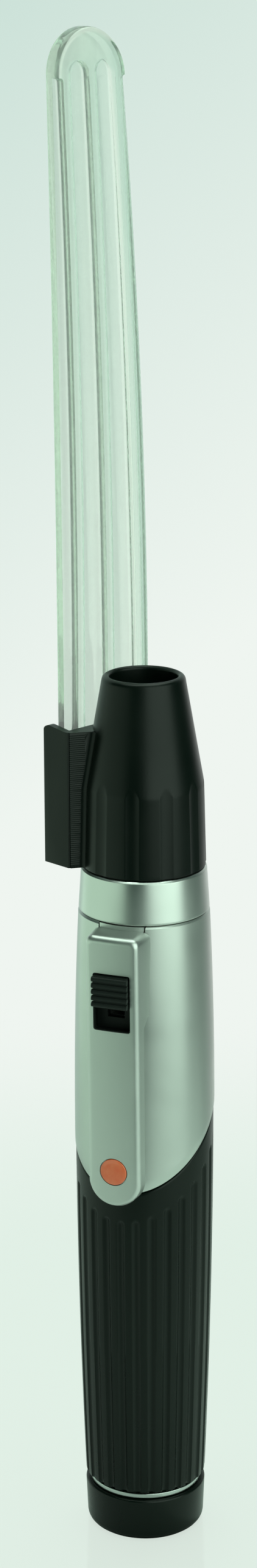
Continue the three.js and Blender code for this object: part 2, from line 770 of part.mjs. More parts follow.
// Lamp glass with a domed lens end.
function bulbGlass() {
  const radius = bulbSleeveR - bulbSleeveWall - fit;
  const bottomZ = bulbZ + bulbSleeveFloor + fit;
  const domeZ = bottomZ + bulbGlassHeight - radius;
  const body = turned([
    [0, bottomZ],
    [radius, bottomZ],
    ...corner(0, domeZ, radius, 0, 90, 5),
  ], smallSteps);
  return piece('bulb_glass', body, 0xe8efec, 0.05, 0);
}

// Front lens on its seat in the nose.
function frontLens() {
  const radius = noseBoreR - fit;
  const bottomZ = lensSeatZ + fit;
  const outline = [[0, bottomZ], [radius, bottomZ]];
  const crownR = (radius * radius + lensCrown * lensCrown) / (2 * lensCrown);
  const centreZ = bottomZ + lensEdge + lensCrown - crownR;
  const rise = THREE.MathUtils.radToDeg(Math.acos(radius / crownR));
  outline.push(...corner(0, centreZ, crownR, rise, 90, 5));
  return piece('front_lens', turned(outline, smallSteps), 0xe8f2ee, 0.05, 0);
}

// Ring that keeps the lens on its seat.
function lensRing() {
  const radius = noseBoreR - fit;
  const bottomZ = lensSeatZ + fit + lensEdge + 2 * fit;
  const body = ring(radius, radius - lensRingWidth, bottomZ, bottomZ + lensRingHeight, smallSteps);
  return piece('lens_ring', body, 0x1b1f1d, 0.4, 0.3);
}

// The blade's half width at a height: straight in the pocket, then a long arc, then a round tip.
function bladeHalf(z) {
  const arcStartZ = bladeZ + bladeStraight;
  const tipCentreZ = bladeTipZ - bladeTipR;
  const onArc = bladeHalfWidth - Math.max(0, z - arcStartZ) ** 2 / (2 * bladeSideArcR);
  const onFoot = bladeFootRound - Math.max(0, bladeZ + bladeFootRound - z);
  const foot = bladeFootRound - Math.sqrt(Math.max(0, bladeFootRound ** 2 - (bladeFootRound - onFoot) ** 2));
  if (z < tipCentreZ) return onArc - foot;
  return Math.sqrt(Math.max(0, bladeTipR ** 2 - (z - tipCentreZ) ** 2));
}

// How far the blade bows out from its pocket at a height.
function bladeBow(z) {
  return Math.max(0, z - bladeZ - bladeStraight) ** 2 / (2 * bladeBowR);
}

// Heights along the blade, closer together round its tip.
function bladeHeights(topZ) {
  const tipCentreZ = bladeTipZ - bladeTipR;
  const heights = [bladeZ, bladeZ + 0.3 * bladeFootRound, bladeZ + bladeFootRound];
  for (let i = 0; i <= bladeSteps; i++) {
    heights.push(bladeZ + bladeStraight + ((tipCentreZ - bladeZ - bladeStraight) * i) / bladeSteps);
  }
  for (const lift of [20, 38, 52, 64, 74, 82, 87]) {
    heights.push(tipCentreZ + bladeTipR * Math.sin(THREE.MathUtils.degToRad(lift)));
  }
  return heights.filter((z) => z < topZ);
}

// Tongue blade: clear plate with three ribs towards the lamp, which run out into a solid round tip.
function tongueBlade() {
  const section = (z) => {
    const half = bladeHalf(z);
    const bow = bladeBow(z);
    const edge = Math.min(bladeEdge, half / 2);
    return [
      [-half, bladeFront + edge], [-half + edge, bladeFront], [half - edge, bladeFront],
      [half, bladeFront + edge], [half, bladeBack - edge], [half - edge, bladeBack],
      [-half + edge, bladeBack], [-half, bladeBack - edge],
    ].map(([x, y]) => new THREE.Vector3(x, y + bow, z));
  };
  let body = loft(bladeHeights(bladeTipZ).map(section));
  const share = (z) => Math.max(0, z - bladeZ - bladeStraight) / (bladeTipZ - bladeZ - bladeStraight);
  const spacing = (z) => ribSpacing + (ribSpacingAtTip - ribSpacing) * share(z);
  for (const side of [-1, 1]) {
    const inner = (z) => [ribWidth / 2, spacing(z) - ribWidth / 2];
    const outer = (z) => [spacing(z) + ribWidth / 2, bladeHalfWidth + overcut];
    body = body.subtract(bladeChannel(side, inner)).subtract(bladeChannel(side, outer));
  }
  return piece('tongue_blade', body, 0xd5eadd, 0.08, 0);
}

// One channel cutter in the blade's front, on one side, between two distances from the middle. It stops
// with a round end inside the outline of the tip.
function bladeChannel(side, edgesAt) {
  const tipCentreZ = bladeTipZ - bladeTipR;
  const stopEdges = edgesAt(tipCentreZ);
  const nearest = Math.min(stopEdges[1], bladeTipR);
  const middle = (stopEdges[0] + nearest) / 2;
  const roundR = (nearest - stopEdges[0]) / 2;
  const room = Math.sqrt(Math.max(0, (bladeTipR - channelStop / 2) ** 2 - middle ** 2 / 2));
  const stopZ = tipCentreZ + room - roundR;
  const bottomZ = bladeZ - overcut;
  const heights = [bottomZ, ...bladeHeights(stopZ).slice(2), stopZ];
  const ends = [30, 55, 75, 88].map((a) => THREE.MathUtils.degToRad(a));
  const rings = heights.map((z) => channelRing(side, edgesAt(z), z));
  for (const angle of ends) {
    const z = stopZ + roundR * Math.sin(angle);
    const [from, to] = edgesAt(stopZ);
    const shrink = roundR * (1 - Math.cos(angle));
    rings.push(channelRing(side, [from + shrink, Math.max(from + shrink + 0.05, to - shrink)], z));
  }
  return loft(rings);
}

// Four corners of a channel cutter at a height, following the blade's bow.
function channelRing(side, edges, z) {
  const bow = bladeBow(z);
  const [from, to] = edges;
  return [
    [side * from, bladeFront - overcut], [side * to, bladeFront - overcut],
    [side * to, bladeFront + bladeRib], [side * from, bladeFront + bladeRib],
  ].map(([x, y]) => new THREE.Vector3(x, y + bow, z));
}

// One AA cell: can and terminal in one piece.
function cell(name, bottomZ) {
  const canTopZ = bottomZ + cellCanLength;
  const body = turned([
    [0, bottomZ],
    [cellR - cellShoulder, bottomZ],
    [cellR, bottomZ + cellShoulder],
    [cellR, canTopZ - cellShoulder],
    [cellR - cellShoulder, canTopZ],
    [terminalR, canTopZ],
    [terminalR, canTopZ + terminalHeight],
    [0, canTopZ + terminalHeight],
  ], smallSteps);
  return piece(name, body, 0x8a9aa6, 0.4, 0.6);
}

// Contact plate under the spring.
function capContact() {
  const body = ring(plateR, 0, plateZ, plateZ + plateThickness, smallSteps);
  return piece('cap_contact', body, 0xd0d4d0, 0.3, 1);
}

// Battery spring: one conical wire helix. Prints the least gap between its turns.
function batterySpring() {
  const stepsPerTurn = 8;
  const sides = 5;
  const steps = springTurns * stepsPerTurn;
  const rise = springHeight - 2 * springWireR;
  const centre = (s) => {
    const angle = 2 * Math.PI * springTurns * s;
    const radius = springBottomR + (springTopR - springBottomR) * s;
    const height = springZ + springWireR + rise * s;
    return new THREE.Vector3(radius * Math.cos(angle), radius * Math.sin(angle), height);
  };
  const rings = [];
  const points = [];
  for (let i = 0; i <= steps; i++) {
    const s = i / steps;
    const angle = 2 * Math.PI * springTurns * s;
    const outward = new THREE.Vector3(Math.cos(angle), Math.sin(angle), 0);
    const up = new THREE.Vector3(0, 0, 1);
    points.push(centre(s));
    rings.push([...Array(sides).keys()].map((j) => {
      const turn = (2 * Math.PI * j) / sides;
      return centre(s).addScaledVector(outward, springWireR * Math.cos(turn))
        .addScaledVector(up, springWireR * Math.sin(turn));
    }));
  }
  let least = Infinity;
  for (let i = 0; i < points.length; i++) {
    for (let j = i + stepsPerTurn / 2; j < points.length; j++) {
      least = Math.min(least, points[i].distanceTo(points[j]) - 2 * springWireR);
    }
  }
  console.log(`battery spring: least gap between turns ${least.toFixed(2)} mm`);
  return piece('battery_spring', loft(rings), 0xcfd3cf, 0.3, 1);
}

// End cap: black screw cap that closes the battery space and forms the foot.
function endCap() {
  const body = turned([
    [0, 0],
    ...corner(capBaseR - capEdgeRound, capEdgeRound, capEdgeRound, -90, 0, 4),
    ...corner(capTopR - capLipRound, capHeight - capLipRound, capLipRound, 0, 90, 2),
    [capBoreR, capHeight],
    [capBoreR, capFloor],
    [0, capFloor],
  ]);
  return piece('end_cap', body, 0x1b2320, 0.48, 0);
}

const lamp = new THREE.Group();

const handle = new THREE.Group();
handle.add(upperShell(), gripSleeve(), batteryTube(), tailRing(), switchBase(), contactStrip());
handle.add(pocketClip(), badgePiece(), thumbSlider(), sliderContact());
lamp.add(handle);

const head = new THREE.Group();
head.rotation.z = THREE.MathUtils.degToRad(headTurn);
head.add(lampNose(), collar(), threadSleeve(), bulbInsulator(), centreContact());
head.add(bulbSleeve(), bulbGlass(), frontLens(), lensRing(), tongueBlade());
lamp.add(head);

const battery = new THREE.Group();
battery.add(cell('lower_cell', lowerCellZ), cell('upper_cell', upperCellZ));
battery.add(capContact(), batterySpring(), endCap());
lamp.add(battery);

export default lamp;
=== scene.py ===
# Pocket examination lamp with a clear tongue blade, dressed piece by piece from its foot to the blade's tip.
# Lengths are in millimetres until a mesh is made. The clip faces -Y and the handle's axis is Z.
from math import atan, atan2, cos, pi, radians, sin, sqrt, tan, tau

import bmesh
import bpy
from mathutils import Matrix, Vector


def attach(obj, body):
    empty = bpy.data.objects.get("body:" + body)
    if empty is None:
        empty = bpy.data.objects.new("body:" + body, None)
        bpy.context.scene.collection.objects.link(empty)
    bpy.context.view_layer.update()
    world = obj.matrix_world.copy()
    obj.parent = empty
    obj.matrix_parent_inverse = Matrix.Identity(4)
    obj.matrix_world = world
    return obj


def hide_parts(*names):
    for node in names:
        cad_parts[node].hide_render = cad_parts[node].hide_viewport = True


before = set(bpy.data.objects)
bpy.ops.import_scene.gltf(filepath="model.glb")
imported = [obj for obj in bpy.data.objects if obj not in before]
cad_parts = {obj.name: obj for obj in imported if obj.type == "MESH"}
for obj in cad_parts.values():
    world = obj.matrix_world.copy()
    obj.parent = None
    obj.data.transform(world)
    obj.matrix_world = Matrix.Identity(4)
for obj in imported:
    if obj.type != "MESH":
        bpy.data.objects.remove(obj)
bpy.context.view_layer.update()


# End cap. Black ABS screw cap with a soft lower edge, moulded in one piece. It screws onto the tail ring,
# closes the battery space and is the foot that the lamp stands on.
MM = 0.001
CAP_FOOT_R, CAP_TOP_R, CAP_TOP_Z, CAP_BORE_R, CAP_FLOOR_Z = 10.08, 10.42, 8, 9.02, 2.2
ABS_DARK, ABS_LIGHT = "#020a06", "#05110b"


def linear(code):
    """An sRGB hex colour as linear red, green, blue and alpha."""
    parts = [int(code[i : i + 2], 16) / 255 for i in (1, 3, 5)]
    return [p / 12.92 if p <= 0.04045 else ((p + 0.055) / 1.055) ** 2.4 for p in parts] + [1.0]


def add_node(tree, kind, values=None, links=None, **settings):
    """Adds a node, sets its properties and sockets, and links other nodes' outputs to it. A node that is
    named as a source gives its first output."""
    node = tree.nodes.new(kind)
    for name, value in settings.items():
        setattr(node, name, value)
    for socket, value in (values or {}).items():
        node.inputs[socket].default_value = value
    for socket, source in (links or {}).items():
        output = source.outputs[0] if isinstance(source, bpy.types.Node) else source
        tree.links.new(output, node.inputs[socket])
    return node


def rounded(corners, steps=6):
    """A closed outline of (x, y, radius) corners with each corner turned into its round."""
    points = []
    for i, (x, y, radius) in enumerate(corners):
        here = Vector((x, y))
        if radius <= 0:
            points.append((x, y))
            continue
        back = (Vector(corners[i - 1][:2]) - here).normalized()
        on = (Vector(corners[(i + 1) % len(corners)][:2]) - here).normalized()
        half = back.angle(on) / 2
        centre = here + (back + on).normalized() * radius / sin(half)
        first = here + back * radius / tan(half) - centre
        last = here + on * radius / tan(half) - centre
        start = atan2(first.y, first.x)
        sweep = (atan2(last.y, last.x) - start + pi) % tau - pi
        for k in range(steps + 1):
            angle = start + sweep * k / steps
            points.append((centre.x + radius * cos(angle), centre.y + radius * sin(angle)))
    return points


def placed(name, data):
    """An object for a mesh, a lamp or a camera, put in the scene."""
    thing = bpy.data.objects.new(name, data)
    bpy.context.scene.collection.objects.link(thing)
    return thing


def shade(mesh, smooth_angle):
    """Shades a mesh smooth, with sharp edges over an angle."""
    mesh.shade_smooth()
    mesh.set_sharp_from_angle(angle=radians(smooth_angle))


def finished(name, bm, smooth_angle=32):
    """A bmesh in millimetres as a clean object in metres, shaded smooth up to an angle."""
    bmesh.ops.remove_doubles(bm, verts=bm.verts, dist=1e-4)
    bmesh.ops.dissolve_degenerate(bm, edges=bm.edges, dist=1e-5)
    bmesh.ops.recalc_face_normals(bm, faces=bm.faces)
    if bm.calc_volume(signed=True) < 0:
        bmesh.ops.reverse_faces(bm, faces=bm.faces)
    bmesh.ops.scale(bm, vec=(MM, MM, MM), verts=bm.verts)
    mesh = bpy.data.meshes.new(name)
    bm.to_mesh(mesh)
    bm.free()
    shade(mesh, smooth_angle)
    return placed(name, mesh)


def skin(rings, closed_section=True, capped=False, open_ends=False):
    """Rings of equally many points joined into a skin, each ring to the next. The last joins the first, or
    both get flat caps, or both stay open."""
    bm = bmesh.new()
    rows = [[bm.verts.new(p) for p in ring] for ring in rings]
    count = len(rows[0])
    for i in range(len(rows) - 1 if capped or open_ends else len(rows)):
        low, high = rows[i], rows[(i + 1) % len(rows)]
        for j in range(count if closed_section else count - 1):
            k = (j + 1) % count
            bm.faces.new((low[j], low[k], high[k], high[j]))
    if capped:
        bm.faces.new(rows[0])
        bm.faces.new(rows[-1])
    return bm


def swung(column, angle):
    """A column of (radius, height) points, swung about Z to its angle."""
    return [(r * cos(angle), r * sin(angle), z) for r, z in column]


def turned(name, outline, steps=160):
    """A closed (radius, height) outline turned about Z. One that starts on the axis also ends there."""
    rings = [swung(outline, tau * i / steps) for i in range(steps)]
    return finished(name, skin(rings, closed_section=outline[0][0] > 0))


def dress(piece, material):
    """Gives a piece or a CAD part one material in place of any that it has."""
    piece.data.materials.clear()
    piece.data.materials.append(material)


def new_finish(name):
    """A material with an empty tree, and the link to the piece's own place that its patterns read."""
    material = bpy.data.materials.new(name)
    material.use_nodes = True
    tree = material.node_tree
    tree.nodes.clear()
    place = add_node(tree, "ShaderNodeTexCoord")
    return material, tree, {"Vector": place.outputs["Object"]}


def black_abs(name, dark, light, gloss, grain_mm):
    """Black moulded ABS: a fine spark-eroded grain breaks the highlight, and handling leaves soft shinier and
    duller patches of about 12 mm. The grain is under 0.1 mm and drawn coarser so that it shows."""
    material, tree, where = new_finish(name)
    grain = add_node(tree, "ShaderNodeTexNoise", {"Scale": 1 / (grain_mm * MM), "Detail": 2}, where)
    patches = add_node(tree, "ShaderNodeTexNoise", {"Scale": 1 / (12 * MM), "Detail": 4}, where)
    tone = add_node(tree, "ShaderNodeMix", {6: linear(dark), 7: linear(light)}, {0: patches},
                    data_type="RGBA")
    rubbed = add_node(tree, "ShaderNodeMapRange",
                      {"From Min": 0.3, "From Max": 0.7, "To Min": gloss - 0.05, "To Max": gloss + 0.05},
                      {"Value": patches})
    bump = add_node(tree, "ShaderNodeBump", {"Strength": 0.35, "Distance": 0.02 * MM}, {"Height": grain})
    shader = add_node(tree, "ShaderNodeBsdfPrincipled", {"IOR": 1.53, "Specular IOR Level": 0.22},
                      {"Base Color": tone.outputs[2], "Roughness": rubbed,
                       "Normal": bump})
    add_node(tree, "ShaderNodeOutputMaterial", None, {"Surface": shader})
    return material


end_cap = turned("end_cap_moulding", rounded([
    (0, 0, 0), (CAP_FOOT_R, 0, 1.6), (CAP_TOP_R, CAP_TOP_Z, 0.4), (CAP_BORE_R, CAP_TOP_Z, 0.2),
    (CAP_BORE_R, CAP_FLOOR_Z, 0.3), (0, CAP_FLOOR_Z, 0)]))
dress(end_cap, black_abs("cap_black_abs", ABS_DARK, ABS_LIGHT, 0.28, 0.3))
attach(end_cap, "cap")
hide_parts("end_cap")


# Contact plate and battery spring in the cap. The plate is pressed and the spring wound from nickel-plated
# steel, bright with a faint straw tone. The spring stands on the plate and pushes the cells up.
def plated_metal(name, colour, roughness, streak_mm):
    """Plated or drawn metal: bright, with faint drawing marks that vary its gloss. The marks are under 0.1 mm
    apart and drawn coarser so that they show."""
    material, tree, where = new_finish(name)
    stretch = add_node(tree, "ShaderNodeMapping", {"Scale": (1, 1, 0.15)}, where)
    marks = add_node(tree, "ShaderNodeTexNoise", {"Scale": 1 / (streak_mm * MM), "Detail": 3},
                     {"Vector": stretch})
    gloss = add_node(tree, "ShaderNodeMapRange", {"To Min": roughness * 0.7, "To Max": roughness * 1.3},
                     {"Value": marks})
    shader = add_node(tree, "ShaderNodeBsdfPrincipled", {"Base Color": linear(colour), "Metallic": 1.0},
                      {"Roughness": gloss})
    add_node(tree, "ShaderNodeOutputMaterial", None, {"Surface": shader})
    return material


nickel = plated_metal("nickel_plated_steel", "#cfd0c8", 0.25, 0.6)
dress(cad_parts["cap_contact"], nickel)


def start_tree(name, sizes, on_skin=False):
    """A Geometry Nodes tree with a named input for each size and for the finish, and for the skin of a piece
    if it works on one. Gives the tree and its inputs."""
    kinds = {int: "NodeSocketInt", float: "NodeSocketFloat", tuple: "NodeSocketVector"}
    inputs = {"Skin": "NodeSocketGeometry"} if on_skin else {}
    inputs.update({label: kinds[type(size)] for label, size in sizes.items()}, Finish="NodeSocketMaterial")
    tree = bpy.data.node_groups.new(name, "GeometryNodeTree")
    for label, kind in inputs.items():
        tree.interface.new_socket(name=label, in_out="INPUT", socket_type=kind)
    tree.interface.new_socket(name="Piece", in_out="OUTPUT", socket_type="NodeSocketGeometry")
    return tree, add_node(tree, "NodeGroupInput").outputs


def applied(piece, modifier):
    """Makes what a modifier gives the piece's plain mesh."""
    graph = bpy.context.evaluated_depsgraph_get()
    mesh = bpy.data.meshes.new_from_object(piece.evaluated_get(graph))
    piece.modifiers.remove(modifier)
    old, piece.data = piece.data, mesh
    bpy.data.meshes.remove(old)
    return mesh


def grown(name, tree, given, shape, sizes, material, start=None):
    """Ends a tree in real geometry with its finish, and makes what it gives for the sizes a plain mesh, of a
    new piece or of the start piece."""
    real = add_node(tree, "GeometryNodeRealizeInstances", None, {0: shape})
    coated = add_node(tree, "GeometryNodeSetMaterial", None,
                      {"Geometry": real, "Material": given["Finish"]})
    add_node(tree, "NodeGroupOutput", None, {0: coated})
    piece = start or placed(name, bpy.data.meshes.new(name))
    modifier = piece.modifiers.new(name, "NODES")
    modifier.node_group = tree
    values = {**sizes, "Finish": material}
    for socket in tree.interface.items_tree:
        if socket.name in values:
            modifier[socket.identifier] = values[socket.name]
    shade(applied(piece, modifier), 38)
    return piece


# a cone of round wire: it winds in towards the top, so that its turns can pass one another
spring_sizes = {"Turns": 3.0, "Foot Radius": 6.4 * MM, "Top Radius": 4.6 * MM, "Rise": 4.6 * MM,
                "Wire Radius": 0.4 * MM, "Foot Height": 3.7 * MM}
tree, given = start_tree("wound_spring", spring_sizes)
path = add_node(tree, "GeometryNodeCurveSpiral", {"Resolution": 48},
                {"Rotations": given["Turns"], "Start Radius": given["Foot Radius"],
                 "End Radius": given["Top Radius"], "Height": given["Rise"]})
wire = add_node(tree, "GeometryNodeCurvePrimitiveCircle", {"Resolution": 14},
                {"Radius": given["Wire Radius"]})
tube = add_node(tree, "GeometryNodeCurveToMesh", {"Fill Caps": True},
                {"Curve": path, "Profile Curve": wire})
lift = add_node(tree, "ShaderNodeCombineXYZ", None, {"Z": given["Foot Height"]})
stood = add_node(tree, "GeometryNodeTransform", None, {"Geometry": tube, "Translation": lift})
battery_spring = grown("battery_spring_wire", tree, given, stood, spring_sizes, nickel)
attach(battery_spring, "battery_stack")
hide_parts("battery_spring")


# Two AA cells. Steel cans in a plain printed film, dark with a lighter band at the positive end, and a bare
# steel crimp and terminal. They stand on the spring in the tube.
CELL_FOOT_Z, CELL_PITCH, BAND_SHARE, CRIMP_SHARE = 9.0, 50.5, 0.66, 0.955
# shrunk film has a soft sheen with scuffs of about 2 mm
cell_film, tree, where = new_finish("cell_wrapper_film")
split = add_node(tree, "ShaderNodeSeparateXYZ", None, {0: where["Vector"]})
above = add_node(tree, "ShaderNodeMath", {1: CELL_FOOT_Z * MM}, {0: split.outputs["Z"]}, operation="SUBTRACT")
each = add_node(tree, "ShaderNodeMath", {1: CELL_PITCH * MM}, {0: above}, operation="FLOORED_MODULO")
share = add_node(tree, "ShaderNodeMath", {1: CELL_PITCH * MM}, {0: each}, operation="DIVIDE")
bands = add_node(tree, "ShaderNodeValToRGB", None, {0: share})
bands.color_ramp.interpolation = "CONSTANT"
bands.color_ramp.elements[0].color = linear("#3a4650")
bands.color_ramp.elements[1].position = BAND_SHARE
bands.color_ramp.elements[1].color = linear("#a88c54")
bands.color_ramp.elements.new(CRIMP_SHARE).color = linear("#c4c7c2")
scuffs = add_node(tree, "ShaderNodeTexNoise", {"Scale": 1 / (2 * MM), "Detail": 4}, where)
sheen = add_node(tree, "ShaderNodeMapRange", {"To Min": 0.22, "To Max": 0.48}, {"Value": scuffs})
film = add_node(tree, "ShaderNodeBsdfPrincipled", {"Metallic": 0.5},
                {"Base Color": bands, "Roughness": sheen})
add_node(tree, "ShaderNodeOutputMaterial", None, {"Surface": film})
for node in ("lower_cell", "upper_cell"):
    dress(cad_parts[node], cell_film)


# Tail ring. Bright turned aluminium that shows as a thin line between the cap and the grip sleeve. Its lower
# spigot has the thread for the cap, and its upper one is pressed into the sleeve.
THREAD_COLUMNS = 120
RING_LOW_Z, RING_STEP_Z, RING_TOP_Z, RING_BORE_R, RING_FOOT_R = 4.7, 9.4, 15.4, 7.5, 8.5
RING_THREAD_R, RING_THREAD_DEPTH, RING_LEAD, RING_THREAD_LOW_Z, RING_THREAD_HIGH_Z = 8.72, 0.3, 1.2, 4.75, 8.1
FLANGE_LOW_Z, FLANGE_HIGH_Z, FLANGE_R = 8.15, 9.0, 9.7
SPIGOT_R, SPIGOT_BORE_R, SPIGOT_FOOT_Z = 9, 8.6, 9.1


def thread_column(angle, radius, depth, lead, low, high):
    """Points up a right-hand thread at one angle round it, running out at both ends."""
    count = int((high - low) / lead * 10)
    points = []
    for k in range(count + 1):
        z = low + (high - low) * k / count
        turn = (z / lead - angle / tau) % 1
        run_out = min(1, (z - low) / lead, (high - z) / lead)
        points.append((radius - depth * run_out * abs(2 * turn - 1), z))
    return points


ring_body = rounded([
    (RING_THREAD_R, FLANGE_LOW_Z, 0), (FLANGE_R, FLANGE_LOW_Z, 0.12), (FLANGE_R, FLANGE_HIGH_Z, 0.12),
    (SPIGOT_R, SPIGOT_FOOT_Z, 0), (SPIGOT_R, RING_TOP_Z, 0.1), (SPIGOT_BORE_R, RING_TOP_Z, 0.1),
    (SPIGOT_BORE_R, RING_STEP_Z, 0), (RING_BORE_R, RING_STEP_Z, 0), (RING_BORE_R, RING_LOW_Z, 0.1),
    (RING_FOOT_R, RING_LOW_Z, 0)], 4)
ring_columns = []
for i in range(THREAD_COLUMNS):
    angle = tau * i / THREAD_COLUMNS
    thread = thread_column(angle, RING_THREAD_R, RING_THREAD_DEPTH, RING_LEAD, RING_THREAD_LOW_Z,
                           RING_THREAD_HIGH_Z)
    ring_columns.append(swung(thread + ring_body, angle))
tail_ring = finished("tail_ring_turning", skin(ring_columns))
dress(tail_ring, plated_metal("bright_turned_aluminium", "#c6cbc9", 0.22, 0.4))
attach(tail_ring, "handle")
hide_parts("tail_ring")


# Battery tube. Brass tube, drawn to a thin wall and cut to length, that guides the cells. Both halves of the
# barrel are pressed over it.
brass = plated_metal("drawn_brass", "#c9a25a", 0.3, 0.8)
dress(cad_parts["battery_tube"], brass)


# Grip sleeve. Black ABS lower half of the barrel, moulded with ball-ended flutes that stop under its slanted
# top edge. It is pressed over the tube and the tail ring.
BARREL_LOW_Z, BARREL_WIDE_Z, BARREL_TOP_Z = 9.4, 77.0, 113.1
BARREL_LOW_R, BARREL_WIDE_R, BARREL_TOP_R, BARREL_BORE_R = 10.55, 11.87, 11.0, 8.6
JOIN_Z, JOIN_SLOPE, JOIN_GAP = 75.8, 0.85, 0.15
SLEEVE_INSET, SLEEVE_TOP_R, SLEEVE_EDGE = 0.15, 11.7, 0.25
SLEEVE_SEAT_R, SLEEVE_SEAT_Z, SLEEVE_FOOT_R, SLEEVE_FOOT_ROUND = 9.3, 15.7, 9.9, 0.5
# a flute's ball end reaches FLUTE_END over the ball's middle, and lies in the finer rows of the FLUTE_ZONE
FLUTES, FLUTE_R, FLUTE_DEPTH, FLUTE_DROP, FLUTE_END, FLUTE_ZONE = 27, 0.85, 0.35, 4.8, 0.7, 9
LOW_ROWS, ZONE_ROWS, COLUMNS_PER_FLUTE = 34, 36, 18


def quarter(steps):
    """The angles of a quarter turn, in equal steps."""
    return [pi / 2 * k / steps for k in range(steps + 1)]


def barrel_r(z):
    """The barrel's radius at a height, on the arc under or over its widest place."""
    run = BARREL_WIDE_Z - BARREL_LOW_Z if z < BARREL_WIDE_Z else BARREL_TOP_Z - BARREL_WIDE_Z
    drop = BARREL_WIDE_R - (BARREL_LOW_R if z < BARREL_WIDE_Z else BARREL_TOP_R)
    arc = (run * run + drop * drop) / (2 * drop)
    return BARREL_WIDE_R - arc + sqrt(arc * arc - (z - BARREL_WIDE_Z) ** 2)


def join_height(angle, radius, gap):
    """The slanted joint's height at an angle round the barrel, lowest under the clip."""
    return JOIN_Z + gap + JOIN_SLOPE * radius * sin(angle)


def press_flutes(piece, sizes, material):
    """Geometry Nodes that press round flutes into a turned skin, evenly round its axis. Each ends in a ball
    under a slanted plane. Their floor follows the skin itself, or a drafted line that lets them run out."""
    tree, given = start_tree("flutes_of_" + piece.name, sizes, on_skin=True)
    spot = add_node(tree, "GeometryNodeInputPosition")
    at = add_node(tree, "ShaderNodeSeparateXYZ", None, {0: spot}).outputs
    flat = add_node(tree, "ShaderNodeVectorMath", {1: (1, 1, 0)}, {0: spot}, operation="MULTIPLY")
    reach = add_node(tree, "ShaderNodeVectorMath", None, {0: flat}, operation="LENGTH").outputs["Value"]
    known = {label: given[label] for label in sizes}
    known.update(x=at["X"], y=at["Y"], z=at["Z"], reach=reach)
    # each row has a result's name, its sum, and the numbers, sizes or earlier results that go into it
    for result, operation, *terms in (
        # how far round from the middle of the nearest flute
        ("angle", "ARCTAN2", "y", "x"),
        ("pitch", "DIVIDE", tau, "Count"),
        ("past", "SUBTRACT", "angle", "First Angle"),
        ("turns", "DIVIDE", "past", "pitch"),
        ("nearest", "ROUND", "turns"),
        ("share", "SUBTRACT", "turns", "nearest"),
        ("off", "MULTIPLY", "share", "pitch"),
        ("middle", "MULTIPLY_ADD", "nearest", "pitch", "First Angle"),
        # the cutter's middle line, outside the skin or the drafted line
        ("rise", "SUBTRACT", "z", "Foot Height"),
        ("taper", "MULTIPLY", "rise", "Draft"),
        ("line", "SUBTRACT", "Foot Radius", "taper"),
        ("over line", "SUBTRACT", "reach", "line"),
        ("guide", "MULTIPLY_ADD", "over line", "Follow Skin", "line"),
        ("floor", "SUBTRACT", "guide", "Depth"),
        ("centre", "ADD", "floor", "Radius"),
        ("sine", "SINE", "off"),
        ("aside", "MULTIPLY", "sine", "centre"),
        # the ball end under the slanted plane
        ("slant", "SINE", "middle"),
        ("ball", "MULTIPLY_ADD", "slant", "Top Slant", "Top Height"),
        ("beyond", "SUBTRACT", "z", "ball"),
        ("over", "MAXIMUM", "beyond", 0),
        ("radius squared", "POWER", "Radius", 2),
        ("aside squared", "MULTIPLY", "aside", "aside"),
        ("over squared", "MULTIPLY", "over", "over"),
        ("inside", "SUBTRACT", "radius squared", "aside squared"),
        ("left", "SUBTRACT", "inside", "over squared"),
        ("real left", "MAXIMUM", "left", 0),
        ("root", "SQRT", "real left"),
        ("cosine", "COSINE", "off"),
        ("ahead", "MULTIPLY", "cosine", "centre"),
        ("hollow", "SUBTRACT", "ahead", "root"),
        ("pressed", "MINIMUM", "hollow", "reach"),
        # only the outer skin inside a cutter moves
        ("cut", "GREATER_THAN", "left", 0),
        ("outer", "GREATER_THAN", "reach", "Inner Radius"),
        ("moves", "MULTIPLY", "cut", "outer"),
        ("ratio", "DIVIDE", "pressed", "reach"),
        ("inward", "SUBTRACT", "ratio", 1),
    ):
        values = {i: term for i, term in enumerate(terms) if not isinstance(term, str)}
        links = {i: known[term] for i, term in enumerate(terms) if isinstance(term, str)}
        known[result] = add_node(tree, "ShaderNodeMath", values, links, operation=operation)
    shift = add_node(tree, "ShaderNodeVectorMath", None, {0: flat, "Scale": known["inward"]},
                     operation="SCALE")
    moved = add_node(tree, "GeometryNodeSetPosition", None,
                     {"Geometry": given["Skin"], "Selection": known["moves"], "Offset": shift})
    return grown("flutes", tree, given, moved, sizes, material, piece)


sleeve_columns = []
for i in range(FLUTES * COLUMNS_PER_FLUTE):
    angle = -pi / 2 + tau * i / (FLUTES * COLUMNS_PER_FLUTE)
    top_z = join_height(angle, SLEEVE_TOP_R, -JOIN_GAP)
    foot_z, zone_z = BARREL_LOW_Z + SLEEVE_FOOT_ROUND, top_z - FLUTE_ZONE
    column = [(SLEEVE_SEAT_R, BARREL_LOW_Z), (SLEEVE_FOOT_R, BARREL_LOW_Z)]
    column += [(SLEEVE_FOOT_R + SLEEVE_FOOT_ROUND * sin(t), foot_z - SLEEVE_FOOT_ROUND * cos(t))
               for t in quarter(4)[1:]]
    heights = [foot_z + (zone_z - foot_z) * k / LOW_ROWS for k in range(1, LOW_ROWS + 1)]
    heights += [zone_z + (FLUTE_ZONE - SLEEVE_EDGE) * k / ZONE_ROWS for k in range(1, ZONE_ROWS + 1)]
    column += [(barrel_r(z) - SLEEVE_INSET, z) for z in heights]
    rim = barrel_r(top_z) - SLEEVE_INSET
    column += [(rim - 0.08, top_z - 0.08), (rim - SLEEVE_EDGE, top_z)]
    column += [(BARREL_BORE_R, join_height(angle, BARREL_BORE_R, -JOIN_GAP)),
               (BARREL_BORE_R, SLEEVE_SEAT_Z), (SLEEVE_SEAT_R, SLEEVE_SEAT_Z)]
    sleeve_columns.append(swung(column, angle))
